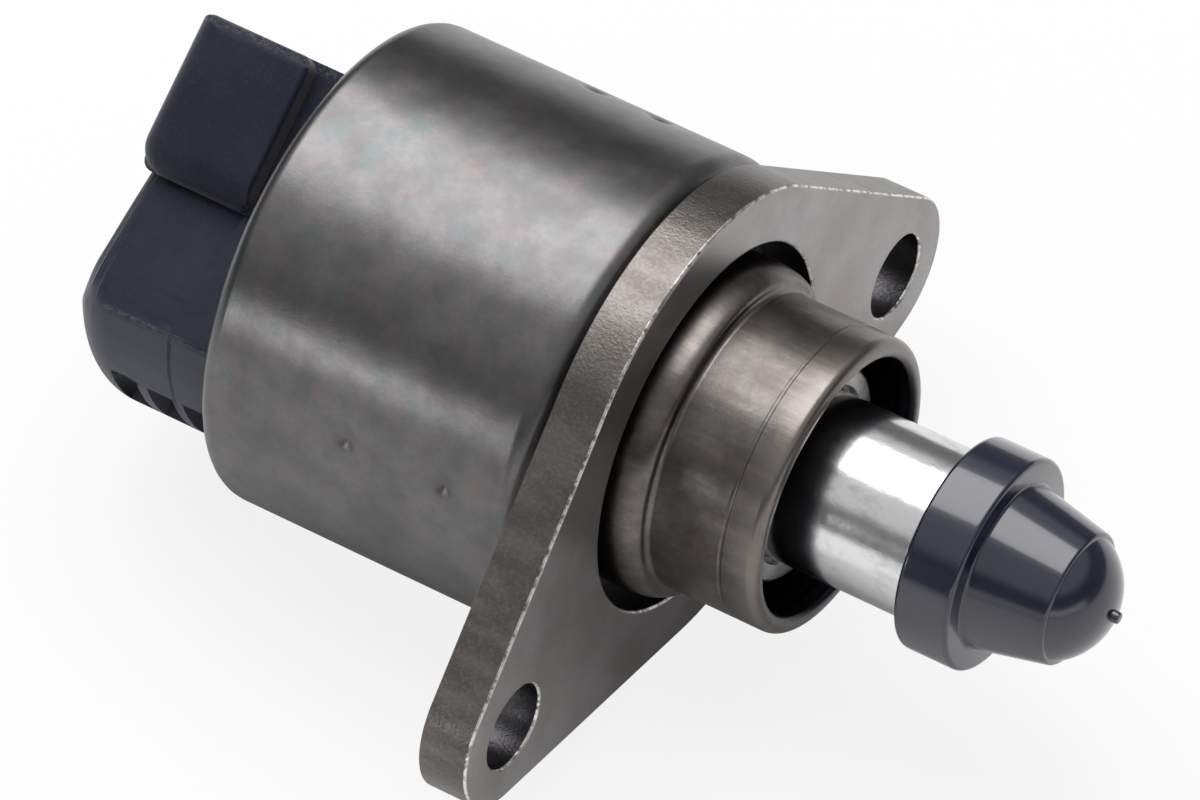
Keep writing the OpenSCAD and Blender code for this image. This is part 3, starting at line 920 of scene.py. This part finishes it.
def dress(frame: dict[str, Any], finish: Finish, nodes: Iterable[str]) -> None:
    """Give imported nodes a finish.

    Args:
        frame: The loaded frame.
        finish: The finish.
        nodes: Names of the nodes.
    """
    for node in nodes:
        mesh = frame["nodes"][node].data
        mesh.materials.clear()
        mesh.materials.append(finish.material())
        LOG.info("%s: %s", node, finish.name)


def make_whole(bm: bmesh.types.BMesh, angle_deg: float = FLAT_DEG) -> None:
    """Join faces that lie flat side by side.

    Args:
        bm: The mesh.
        angle_deg: Angle below which two faces count as flat.
    """
    bmesh.ops.dissolve_limit(
        bm, angle_limit=math.radians(angle_deg), use_dissolve_boundaries=False,
        verts=bm.verts, edges=bm.edges, delimit=set(),
    )


def merged_copy(frame: dict[str, Any], node: str) -> bmesh.types.BMesh:
    """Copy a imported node's triangles into one joined mesh with flat faces whole.

    Args:
        frame: The loaded frame.
        node: The node's name.

    Returns:
        The copy in millimetres.
    """
    bm = bmesh.new()
    bm.from_mesh(frame["nodes"][node].data)
    bmesh.ops.scale(bm, vec=(1 / MM, 1 / MM, 1 / MM), verts=bm.verts)
    bmesh.ops.remove_doubles(bm, verts=bm.verts, dist=ON_RING_MM)
    make_whole(bm)
    return bm


@dataclass
class MotorCan:
    """Drawn can of the stepper motor, with rolled rims and staked marks."""

    wall: float = 1.0
    front_hole: float = 11.65
    rear_hole: float = 14.65
    rear_round: float = 1.25
    front_round: float = 1.85
    inner_round: float = 0.8
    lip_round: float = 0.25
    segments: int = 384
    ring_step: float = 0.3
    mark_reach: float = 2.1
    mark_depth: float = 0.37
    mark_half: float = 0.8
    slack: float = 0.01
    low_marks: Pair = (0.463, 0.765)
    low_angles: Pair = (165.0, 285.0)
    top_marks: Pair = (0.5, 0.7)
    top_angle: float = 45.0

    def marks(self, here: Extent) -> list[Pair]:
        """Places of the staked marks.

        Args:
            here: Where the can lies.

        Returns:
            Place on the axis and angle in radians of each mark.
        """
        length = here.x1 - here.x0
        low = [(share, angle) for angle in self.low_angles for share in self.low_marks]
        top = [(share, self.top_angle) for share in self.top_marks]
        return [(here.x0 + share * length, math.radians(angle)) for share, angle in low + top]

    def wall_rings(self, here: Extent) -> list[float]:
        """Rings that the outer wall needs near its marks.

        Args:
            here: Where the can lies.

        Returns:
            Places on the axis, from the rear forwards.
        """
        count = round(2 * self.mark_reach / self.ring_step)
        steps = [i * self.ring_step - self.mark_reach for i in range(count + 1)]
        return sorted({round(x + step, 2) for x, _ in self.marks(here) for step in steps})

    def stake(self, bm: bmesh.types.BMesh, here: Extent) -> None:
        """Press the staked marks into the outer wall.

        Args:
            bm: The can.
            here: Where the can lies.
        """
        for vert in bm.verts:
            radius = math.hypot(vert.co.y, vert.co.z)
            if abs(radius - here.radius) > self.slack:
                continue
            turn = math.atan2(vert.co.z, vert.co.y)
            sink = 0.0
            for x, angle in self.marks(here):
                aside = math.remainder(turn - angle, 2 * math.pi) * radius
                spread = math.hypot(vert.co.x - x, aside) / self.mark_half
                sink += self.mark_depth * math.exp(-spread ** 2)
            shrink = 1 - sink / radius
            vert.co.y *= shrink
            vert.co.z *= shrink

    def build(self) -> bpy.types.Object:
        """Model the can.

        Returns:
            The can's piece.
        """
        here = Extent.of("can")
        inner = here.radius - self.wall
        outer = [Corner(x, here.radius) for x in self.wall_rings(here)]
        bm = turned([
            Corner(here.x0, here.radius, self.rear_round, 6),
            *outer,
            Corner(here.x1, here.radius, self.front_round, 8),
            Corner(here.x1, self.front_hole, self.lip_round, 3),
            Corner(here.x1 - self.wall, self.front_hole),
            Corner(here.x1 - self.wall, inner, self.inner_round),
            Corner(here.x0 + self.wall, inner),
            Corner(here.x0 + self.wall, self.rear_hole),
            Corner(here.x0, self.rear_hole, self.lip_round, 3),
        ], self.segments)
        self.stake(bm, here)
        return add_piece(bm, "motor_can", Body.HOUSING, CAN_STEEL, ["can"])


@dataclass
class MountingFlange:
    """Blanked flange with two bolt holes and a rolled front edge."""

    bolt_pitch: float = 47.6
    bolt_drop: float = 7.0
    bolt_hole: float = 3.1
    lobe: float = 5.8
    nose_hole: float = 13.3
    hub_edges: int = 192
    lobe_edges: int = 96
    nose_hole_edges: int = 160
    bolt_hole_edges: int = 64
    flat_deg: float = 0.5
    front_roll: float = 0.25
    back_roll: float = 0.1
    roll_steps: int = 3

    def circles(self, hub: float, hub_edges: int, lobe: float, lobe_edges: int) -> list[Circle]:
        """One circle about the valve axis and one about each bolt hole.

        Args:
            hub: Radius about the axis.
            hub_edges: Number of edges of that circle.
            lobe: Radius about the bolt holes.
            lobe_edges: Number of edges of those circles.

        Returns:
            Place along Y and Z, radius and number of edges of each circle.
        """
        half = self.bolt_pitch / 2
        bolts = [(y, -self.bolt_drop, lobe, lobe_edges) for y in (-half, half)]
        return [(0.0, 0.0, hub, hub_edges), *bolts]

    def ring(self, bm: bmesh.types.BMesh, x: float, circle: Circle) -> list[bmesh.types.BMEdge]:
        """Add a ring of edges across the valve axis.

        Args:
            bm: The mesh that gets the ring.
            x: Place on the axis.
            circle: Place along Y and Z, radius and number of edges.

        Returns:
            The ring's edges.
        """
        y, z, radius, count = circle
        stand = Matrix.Translation((x, y, z)) @ Matrix.Rotation(math.pi / 2, 4, "Y")
        made = bmesh.ops.create_circle(bm, cap_ends=False, radius=radius, segments=count, matrix=stand)
        return list({edge for vert in made["verts"] for edge in vert.link_edges})

    def blank(self, x0: float, x1: float, hub: float) -> bmesh.types.BMesh:
        """The solid plate: a hull about the hub and both lobes.

        Args:
            x0: Back of the plate.
            x1: Front of the plate.
            hub: Radius of the round hub.

        Returns:
            The plate with open front and back.
        """
        bm = bmesh.new()
        for x in (x0, x1):
            for circle in self.circles(hub, self.hub_edges, self.lobe, self.lobe_edges):
                self.ring(bm, x, circle)
        hull = bmesh.ops.convex_hull(bm, input=bm.verts, use_existing_faces=False)
        spare = hull["geom_interior"] + hull["geom_unused"]
        inside = {item for item in spare if isinstance(item, bmesh.types.BMVert)}
        bmesh.ops.delete(bm, geom=list(inside), context="VERTS")
        make_whole(bm, self.flat_deg)
        bmesh.ops.recalc_face_normals(bm, faces=bm.faces)
        caps = [face for face in bm.faces if abs(face.normal.x) > FACING]
        bmesh.ops.delete(bm, geom=caps, context="FACES_ONLY")
        return bm

    def pierce(self, bm: bmesh.types.BMesh, x0: float, x1: float) -> None:
        """Close the plate's front and back round its holes, and wall the holes.

        Args:
            bm: The plate.
            x0: Back of the plate.
            x1: Front of the plate.
        """
        holes = self.circles(self.nose_hole, self.nose_hole_edges, self.bolt_hole, self.bolt_hole_edges)
        rings = {x: [self.ring(bm, x, hole) for hole in holes] for x in (x0, x1)}
        for x in (x0, x1):
            rim = [
                edge for edge in bm.edges
                if all(abs(vert.co.x - x) < SAME_PLACE_MM for vert in edge.verts)
            ]
            facing = (1.0, 0.0, 0.0) if x == x1 else (-1.0, 0.0, 0.0)
            bmesh.ops.triangle_fill(bm, use_beauty=True, use_dissolve=False, edges=rim, normal=facing)
        for back, front in zip(rings[x0], rings[x1]):
            bmesh.ops.bridge_loops(bm, edges=back + front)
        bmesh.ops.recalc_face_normals(bm, faces=bm.faces)

    def roll(self, bm: bmesh.types.BMesh, side: int, radius: float) -> None:
        """Round all edges of one face of the plate by insetting it in steps.

        Args:
            bm: The plate.
            side: 1 for the front and -1 for the back.
            radius: Radius of the rounding.
        """
        faces = [face for face in bm.faces if face.normal.x * side > FACING]
        for i in range(self.roll_steps):
            start = math.pi / 2 * i / self.roll_steps
            end = math.pi / 2 * (i + 1) / self.roll_steps
            bmesh.ops.inset_region(
                bm, faces=faces, use_boundary=True, use_even_offset=True,
                thickness=radius * (math.cos(start) - math.cos(end)),
                depth=radius * (math.sin(end) - math.sin(start)),
            )

    def build(self) -> bpy.types.Object:
        """Model the flange.

        Returns:
            The flange's piece.
        """
        low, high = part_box("flange")
        x0 = low.x / MM + self.back_roll
        x1 = high.x / MM - self.front_roll
        hub = high.z / MM
        bm = self.blank(x0, x1, hub)
        self.pierce(bm, x0, x1)
        self.roll(bm, 1, self.front_roll)
        self.roll(bm, -1, self.back_roll)
        return add_piece(bm, "mounting_flange", Body.HOUSING, FLANGE_STEEL, ["flange"])


@dataclass
class NoseTube:
    """Drawn tube in front of the flange, with a wide base and a curled mouth."""

    base_r: float = 12.0
    base_top_r: float = 11.15
    base_x: float = 2.1
    base_edge: float = 0.15
    base_root: float = 0.35
    base_step: float = 0.1
    foot_len: float = 1.0
    foot_round: float = 0.3
    bend_x: float = -0.5
    bend_steps: int = 10
    tube_r: float = 10.65
    wall: float = 1.1
    groove_x: float = 7.5
    groove_w: float = 0.3
    groove_side: float = 0.05
    groove_depth: float = 0.035
    groove_rounds: Pair = (0.06, 0.04)
    lip_round: float = 0.78
    curl: float = 0.26
    curl_round: float = 0.5
    curl_ends: Pair = (1.3, 1.6)
    inner_round: float = 0.2
    segments: int = 192

    def shoulder(self) -> list[Corner]:
        """Bulging shoulder of the base, a quarter of an ellipse from its side to its front.

        Returns:
            The shoulder's points.
        """
        length = self.base_x - self.bend_x - self.base_edge
        drop = self.base_r - self.base_top_r
        turns = [math.pi / 2 * i / self.bend_steps for i in range(self.bend_steps + 1)]
        return [
            Corner(self.bend_x + length * math.sin(turn), self.base_top_r + drop * math.cos(turn))
            for turn in turns
        ]

    def build(self) -> bpy.types.Object:
        """Model the nose tube.

        Returns:
            The tube's piece.
        """
        here = Extent.of("nose_tube")
        back, mouth = here.x0, here.x1
        bore = self.tube_r - self.wall
        base_bore = self.base_r - self.wall
        mouth_bore = bore - self.curl
        curl_end, curl_root = self.curl_ends
        inner_x = self.base_x - self.wall
        groove_end = self.groove_x + self.groove_w
        groove_r = self.tube_r - self.groove_depth
        brim, floor = self.groove_rounds
        bm = turned([
            Corner(back, base_bore),
            Corner(back, here.radius, self.base_edge),
            Corner(back + self.foot_len, here.radius, self.base_edge),
            Corner(back + self.foot_len, self.base_r, self.foot_round),
            *self.shoulder(),
            Corner(self.base_x - self.base_step, self.tube_r, self.base_root),
            Corner(self.groove_x, self.tube_r, brim, 2),
            Corner(self.groove_x + self.groove_side, groove_r, floor, 2),
            Corner(groove_end - self.groove_side, groove_r, floor, 2),
            Corner(groove_end, self.tube_r, brim, 2),
            Corner(mouth, self.tube_r, self.lip_round, 8),
            Corner(mouth, mouth_bore, self.curl_round, 6),
            Corner(mouth - curl_end, mouth_bore, self.inner_round),
            Corner(mouth - curl_root, bore, self.inner_round),
            Corner(inner_x, bore, self.inner_round),
            Corner(inner_x, base_bore, self.inner_round),
        ], self.segments)
        return add_piece(bm, "nose_shell", Body.HOUSING, NOSE_STEEL, ["nose_tube"])


@dataclass
class Plunger:
    """Bright sleeve and black pintle, with the lead screw behind them."""

    sleeve_wall: float = 0.8
    sleeve_edge: float = 0.15
    collar_len: float = 4.1
    collar_edge: float = 0.35
    spigot_r: float = 5.2
    cone_root: float = 5.9
    cone_end: float = 4.7
    cone_len: float = 5.6
    cone_edges: Pair = (0.2, 0.22)
    dome_root: float = 4.4
    dome_height: float = 2.6
    gate_r: float = 0.45
    gate_edge: float = 0.12
    gate_taper: float = 0.9
    dome_steps: int = 12
    thread_pitch: float = 1.0
    thread_root: float = 1.62
    thread_steps: int = 32
    bare_turns: int = 2
    tooth_share: float = 0.4
    crest_share: float = 0.25
    tooth_sink: float = 0.05
    core_segments: int = 48
    end_round: float = 0.2
    segments: int = 192

    def build_sleeve(self) -> bpy.types.Object:
        """Model the bright sleeve.

        Returns:
            The sleeve's piece.
        """
        here = Extent.of("plunger_sleeve")
        hole = here.radius - self.sleeve_wall
        bm = turned([
            Corner(here.x0, hole),
            Corner(here.x0, here.radius, self.sleeve_edge),
            Corner(here.x1, here.radius),
            Corner(here.x1, hole),
        ], self.segments)
        return add_piece(bm, "bright_sleeve", Body.PLUNGER, SLEEVE_STEEL, ["plunger_sleeve"])

    def dome(self, root_x: float) -> list[Corner]:
        """Arc of the domed tip, from its root to the gate mark.

        Args:
            root_x: Place of the dome's root on the axis.

        Returns:
            The arc's points.
        """
        radius = (self.dome_root ** 2 + self.dome_height ** 2) / (2 * self.dome_height)
        centre = root_x + self.dome_height - radius
        start = math.asin(self.dome_root / radius)
        end = math.asin(self.gate_r / radius)
        angles = [start + (end - start) * i / self.dome_steps for i in range(self.dome_steps + 1)]
        return [Corner(centre + radius * math.cos(a), radius * math.sin(a)) for a in angles]

    def build_pintle(self) -> bpy.types.Object:
        """Model the pintle.

        Returns:
            The pintle's piece.
        """
        here = Extent.of("pintle")
        back = Extent.of("plunger_sleeve").x1
        shoulder = back + self.collar_len
        cone_x = shoulder + self.cone_len
        root_edge, end_edge = self.cone_edges
        bm = turned([
            Corner(here.x0, 0.0),
            Corner(here.x0, self.spigot_r, root_edge),
            Corner(back, self.spigot_r),
            Corner(back, here.radius, self.collar_edge),
            Corner(shoulder, here.radius, self.collar_edge),
            Corner(shoulder, self.cone_root, root_edge),
            Corner(cone_x, self.cone_end, end_edge),
            *self.dome(cone_x),
            Corner(here.x1, self.gate_r * self.gate_taper, self.gate_edge, 2),
            Corner(here.x1, 0.0),
        ], self.segments, closed=False)
        return add_piece(bm, "pintle_head", Body.PLUNGER, PINTLE_PLASTIC, ["pintle"])

    def build_screw(self) -> bpy.types.Object:
        """Model the lead screw with its thread.

        Returns:
            The screw's piece.
        """
        here = Extent.of("lead_screw")
        bm = turned([
            Corner(here.x0, 0.0),
            Corner(here.x0, self.thread_root, self.end_round),
            Corner(here.x1, self.thread_root, self.end_round),
            Corner(here.x1, 0.0),
        ], self.core_segments, closed=False)
        turns = int((here.x1 - here.x0) / self.thread_pitch) - self.bare_turns
        x = here.x0 + self.thread_pitch
        half = self.thread_pitch * self.tooth_share
        crest = half * self.crest_share
        root = self.thread_root - self.tooth_sink
        profile = [(-half, root), (-crest, here.radius), (crest, here.radius), (half, root)]
        points = [bm.verts.new((x + along, out, 0.0)) for along, out in profile]
        sides = [bm.edges.new(pair) for pair in zip(points, points[1:] + points[:1])]
        bmesh.ops.spin(
            bm, geom=points + sides, cent=(0, 0, 0), axis=(1, 0, 0),
            dvec=(self.thread_pitch / self.thread_steps, 0, 0),
            angle=2 * math.pi * turns, steps=self.thread_steps * turns, use_merge=False, use_duplicate=False,
        )
        bmesh.ops.holes_fill(bm, edges=bm.edges, sides=4)
        bmesh.ops.recalc_face_normals(bm, faces=bm.faces)
        return add_piece(bm, "lead_screw_thread", Body.PLUNGER, BEARING_STEEL, ["lead_screw"])

    def build(self, frame: dict[str, Any]) -> None:
        """Model and dress the whole plunger.

        Args:
            frame: The loaded frame.
        """
        self.build_sleeve()
        self.build_pintle()
        self.build_screw()
        dress(frame, BOBBIN_PLASTIC, ["plunger_core"])


@dataclass(frozen=True)
class RoundedBlock:
    """Block in turned axes that a moulding's edges are rounded to, with open sides left alone."""

    turn_deg: float
    low: Triple
    high: Triple
    radius: float
    steps: int = 6

    def axes(self) -> Matrix:
        """Turn from the block's axes to the valve's."""
        return Matrix.Rotation(math.radians(self.turn_deg), 3, "X")

    def cut(self, bm: bmesh.types.BMesh) -> None:
        """Cut the mesh along every step of the rounding, so that it has points there to move.

        Args:
            bm: The moulding.
        """
        turn = self.axes()
        for axis in range(3):
            for bound, side in ((self.low[axis], 1), (self.high[axis], -1)):
                if math.isinf(bound):
                    continue
                normal = Vector([i == axis for i in range(3)])
                for step in range(1, self.steps + 1):
                    inset = self.radius * (1 - math.cos(math.pi / 2 * step / self.steps))
                    bmesh.ops.bisect_plane(
                        bm, geom=bm.verts[:] + bm.edges[:] + bm.faces[:], dist=ON_PLANE_MM,
                        plane_co=turn @ (normal * (bound + side * inset)), plane_no=turn @ normal,
                    )

    def press(self, bm: bmesh.types.BMesh, chosen: Callable[[Vector], bool]) -> None:
        """Pull the chosen points that stand out of the rounded block back onto it.

        Args:
            bm: The moulding.
            chosen: Test that says of a place whether the rounding reaches it.
        """
        self.cut(bm)
        turn = self.axes()
        back = turn.inverted()
        for vert in bm.verts:
            if not chosen(vert.co):
                continue
            place = back @ vert.co
            core = Vector([
                min(max(value, low + self.radius), high - self.radius)
                for value, low, high in zip(place, self.low, self.high)
            ])
            away = place - core
            if away.length > self.radius:
                vert.co = turn @ (core + away * (self.radius / away.length))


@dataclass
class RearCover:
    """Moulded rear cover with its socket, and the terminals in it."""

    shroud: RoundedBlock = RoundedBlock(35.0, (-42.2, -0.4, -10.0), (OPEN, OPEN, 10.0), 2.1)
    mouth: RoundedBlock = RoundedBlock(35.0, (-42.2, -OPEN, -10.0), (OPEN, 10.9, 10.0), 1.1)
    slopes: tuple[RoundedBlock, ...] = (
        RoundedBlock(108.08, (-42.0, -OPEN, -OPEN), (OPEN, 7.3, OPEN), 3.0),
        RoundedBlock(-38.08, (-42.0, -OPEN, -OPEN), (OPEN, 7.3, OPEN), 3.0),
        RoundedBlock(138.2, (-42.0, -OPEN, -OPEN), (OPEN, 12.63, OPEN), 4.6),
        RoundedBlock(-68.2, (-42.0, -OPEN, -OPEN), (OPEN, 12.63, OPEN), 4.6),
    )
    shroud_front: float = -33.0
    foot_half: float = 7.8
    slack: float = 0.05
    slope_gaps: Pair = (0.1, 0.3)
    smoothings: int = 3
    edge: float = 0.22
    edge_steps: int = 3
    edge_angle: float = 28.0
    blade_edge: float = 0.08
    terminals: tuple[str, ...] = ("terminal_1", "terminal_2", "terminal_3", "terminal_4")

    def soften(self, piece: bpy.types.Object, width: float) -> None:
        """Round a piece's edges with a live bevel, ahead of its weighted normals.

        Args:
            piece: The piece.
            width: Width of the rounding in millimetres.
        """
        bevel = piece.modifiers.new("rounded_edges", "BEVEL")
        bevel.width = width * MM
        bevel.segments = self.edge_steps
        bevel.limit_method = "ANGLE"
        bevel.angle_limit = math.radians(self.edge_angle)
        piece.modifiers.move(1, 0)

    def at_shroud(self, place: Vector) -> bool:
        """Whether a place is on the shroud, clear of its neck.

        Args:
            place: Place in the socket's axes.

        Returns:
            True on the shroud.
        """
        foot = self.shroud.low[1]
        behind = place.x < self.shroud_front + self.slack
        above = place.y > foot - self.slack
        return behind and above and (place.y > foot + self.shroud.radius or abs(place.z) > self.foot_half)

    def round_corners(self, bm: bmesh.types.BMesh) -> None:
        """Round the shroud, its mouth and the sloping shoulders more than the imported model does.

        Args:
            bm: Copy of the cover.
        """
        socket = self.shroud.axes().inverted()
        press_top, smooth_top = (self.shroud.low[1] - gap for gap in self.slope_gaps)
        for slope in self.slopes:
            reach = slope.low[0] + slope.radius
            slope.press(bm, lambda co: co.x < reach and (socket @ co).y < press_top)
        for slope in self.slopes:
            reach = slope.low[0] + slope.radius
            level = slope.high[1] - slope.radius
            back = slope.axes().inverted()
            near = [
                vert for vert in bm.verts
                if vert.co.x < reach and (back @ vert.co).y > level and (socket @ vert.co).y < smooth_top
            ]
            for _ in range(self.smoothings):
                bmesh.ops.smooth_vert(
                    bm, verts=near, factor=0.5, use_axis_x=True, use_axis_y=True, use_axis_z=True,
                )
        self.shroud.press(bm, lambda co: self.at_shroud(socket @ co))
        self.mouth.press(bm, lambda co: self.at_shroud(socket @ co))

    def build(self, frame: dict[str, Any]) -> None:
        """Model the cover and its terminals.

        Args:
            frame: The loaded frame.
        """
        moulding = merged_copy(frame, "rear_cover")
        self.round_corners(moulding)
        cover = add_piece(moulding, "rear_moulding", Body.HOUSING, COVER_MOULDING, ["rear_cover"])
        self.soften(cover, self.edge)
        for node in self.terminals:
            copy = merged_copy(frame, node)
            blade = add_piece(copy, node + "_blade", Body.HOUSING, TERMINAL_TIN, [node])
            self.soften(blade, self.blade_edge)


@dataclass
class MotorWorks:
    """Inner pieces of the motor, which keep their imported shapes."""

    stator: tuple[str, ...] = (
        "front_outer_cup", "front_inner_cup", "rear_inner_cup", "rear_outer_cup",
        "bearing_plate", "wave_washer",
    )
    plastic: tuple[str, ...] = ("front_bobbin", "rear_bobbin", "rotor_hub")
    wound: tuple[str, ...] = ("front_winding", "rear_winding")
    bearing: tuple[str, ...] = ("bearing_outer_race", "bearing_inner_race", "bearing_balls")
    bronze: tuple[str, ...] = ("bearing_cage", "rear_bush", "nut_insert")

    def build(self, frame: dict[str, Any]) -> None:
        """Give each inner piece its finish.

        Args:
            frame: The loaded frame.
        """
        dress(frame, GUIDE_METAL, ["guide_bush"])
        dress(frame, STATOR_STEEL, self.stator)
        dress(frame, BOBBIN_PLASTIC, self.plastic)
        dress(frame, COPPER_WIRE, self.wound)
        dress(frame, BEARING_STEEL, self.bearing)
        dress(frame, BRONZE, self.bronze)
        dress(frame, MAGNET, ["ring_magnet"])


@dataclass
class PhotoView:
    """Where the photograph was taken from, in degrees and millimetres."""

    azimuth: float = 32.8
    elevation: float = 46.1
    lean: float = 1.83
    right: float = 7.13
    down: float = 1.84
    distance: float = 752.76
    focal_px: float = 11348.0

    def directions(self) -> Matrix:
        """Directions of the picture.

        Returns:
            Rows that point right, down and away from the camera.
        """
        azimuth = math.radians(self.azimuth)
        elevation = math.radians(self.elevation)
        away = Vector((
            -math.sin(azimuth) * math.cos(elevation),
            math.cos(azimuth) * math.cos(elevation),
            -math.sin(elevation),
        ))
        right = away.cross(Vector((0, 0, 1))).normalized()
        down = away.cross(right)
        return Matrix((right, down, away)) @ Matrix.Rotation(math.radians(self.lean), 3, "X")

    def build(self) -> bpy.types.Object:
        """Set up the camera.

        Returns:
            The camera.
        """
        rows = self.directions()
        place = -(rows.transposed() @ Vector((self.right, self.down, self.distance))) * MM
        turn = Matrix((rows[0], -rows[1], -rows[2])).transposed().to_4x4()
        data = bpy.data.cameras.new("photo_camera")
        data.sensor_fit = "HORIZONTAL"
        data.sensor_width = SENSOR_MM
        data.lens = self.focal_px * SENSOR_MM / PHOTO_WIDTH_PX
        data.clip_start = 0.01
        data.clip_end = 20.0
        camera = show("photo_camera", data)
        camera.matrix_world = Matrix.Translation(place) @ turn
        bpy.context.scene.camera = camera
        return camera


@dataclass(frozen=True)
class SoftLamp:
    """A soft rectangular lamp that faces the valve."""

    name: str
    direction: Triple
    distance: float
    size: Pair
    radiance: float

    def build(self) -> None:
        """Hang the lamp, with its first side along the valve axis."""
        data = bpy.data.lights.new(self.name, "AREA")
        data.shape = "RECTANGLE"
        data.size, data.size_y = self.size
        data.energy = self.radiance * WATTS_PER_RADIANCE * self.size[0] * self.size[1]
        lamp = show(self.name, data)
        back = Vector(self.direction).normalized()
        side = (Vector((1, 0, 0)) - back * back.x).normalized()
        turn = Matrix((side, back.cross(side), back)).transposed().to_4x4()
        lamp.matrix_world = Matrix.Translation(back * self.distance) @ turn
        lamp.visible_camera = False
        LOG.info("lamp %s", self.name)


@dataclass
class Studio:
    """Plain pale floor, soft lamps and a dim room with a white backdrop."""

    floor_half: float = 2.0
    floor_colour: Colour = (0.8, 0.8, 0.8)
    floor_white: float = 0.85
    floor_mirrored: float = 0.05
    room_dark: float = 0.16
    ceiling: float = 0.45
    ceiling_rise: Pair = (0.4, 0.62)
    horizon: float = 1.1
    horizon_ahead: Pair = (-0.2, 0.25)
    horizon_near: Pair = (-0.1, 0.2)
    horizon_foot: Pair = (-0.05, 0.0)
    horizon_top: Pair = (0.1, 0.2)
    ambient: float = 0.4
    lamps: tuple[SoftLamp, ...] = (
        SoftLamp("overhead_box", (-0.22, 0.208, 0.978), 0.82, (0.95, 0.74), 2.6),
        SoftLamp("can_strip", (-0.47, -0.93, 0.215), 0.162, (0.03, 0.024), 4.5),
    )

    def build_floor(self, height: float) -> None:
        """Lay the floor, which the camera sees almost white under its shadow.

        Args:
            height: Height of the floor in metres.
        """
        bm = bmesh.new()
        bmesh.ops.create_grid(
            bm, x_segments=1, y_segments=1, size=self.floor_half, matrix=Matrix.Translation((0, 0, height)),
        )
        mesh = bpy.data.meshes.new("studio_floor")
        bm.to_mesh(mesh)
        bm.free()
        floor = show("studio_floor", mesh)
        material = bpy.data.materials.new("studio_floor")
        material.use_nodes = True
        graph = Graph(material.node_tree)
        seen = graph.ray("Is Camera Ray") + graph.ray("Is Transmission Ray")
        white = graph.node("ShaderNodeEmission", {}, {"Color": WHITE, "Strength": 1.0})
        matt = graph.node("ShaderNodeBsdfDiffuse", {}, {"Color": self.floor_colour})
        share = seen * self.floor_white + graph.ray("Is Glossy Ray") * self.floor_mirrored
        shader = graph.node("ShaderNodeMixShader", {}, {0: share, 1: matt, 2: white})
        graph.node_output("ShaderNodeOutputMaterial", shader)
        mesh.materials.append(material)

    def build_room(self) -> None:
        """Light the room: white to the eye, and dim with a bright ceiling and horizon in the metal."""
        world = bpy.data.worlds.new("studio_room")
        world.use_nodes = True
        bpy.context.scene.world = world
        graph = Graph(world.node_tree)
        direction = graph.node("ShaderNodeTexCoord", {}, {}, "Generated")
        up = graph.part(direction, "Z")
        near = 0.0 - graph.part(direction, "Y")
        ahead = graph.part(direction, "X")
        side = ahead.smooth(*self.horizon_ahead) * near.smooth(*self.horizon_near)
        line = side * up.smooth(*self.horizon_foot) * (1.0 - up.smooth(*self.horizon_top))
        room = up.smooth(*self.ceiling_rise) * self.ceiling + line * self.horizon + self.room_dark
        mirrored = graph.ray("Is Glossy Ray")
        level = mirrored * room + (1.0 - mirrored) * self.ambient
        white = graph.ray("Is Camera Ray") + graph.ray("Is Transmission Ray")
        strength = level * (1.0 - white) + white
        shader = graph.node("ShaderNodeBackground", {}, {"Color": WHITE, "Strength": strength})
        graph.node_output("ShaderNodeOutputWorld", shader)

    def build(self, height: float) -> None:
        """Set up the whole studio.

        Args:
            height: Height of the floor in metres.
        """
        self.build_floor(height)
        self.build_room()
        for lamp in self.lamps:
            lamp.build()
        bpy.context.scene.view_settings.view_transform = "Standard"


def main() -> None:
    """Build the valve and its studio in order."""
    logging.basicConfig(level=logging.INFO, format="%(message)s")
    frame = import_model()
    PhotoView().build()
    Studio().build(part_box("can")[0].z)
    MotorCan().build()
    MountingFlange().build()
    NoseTube().build()
    Plunger().build(frame)
    RearCover().build(frame)
    MotorWorks().build(frame)


if __name__ == "__main__":
    main()
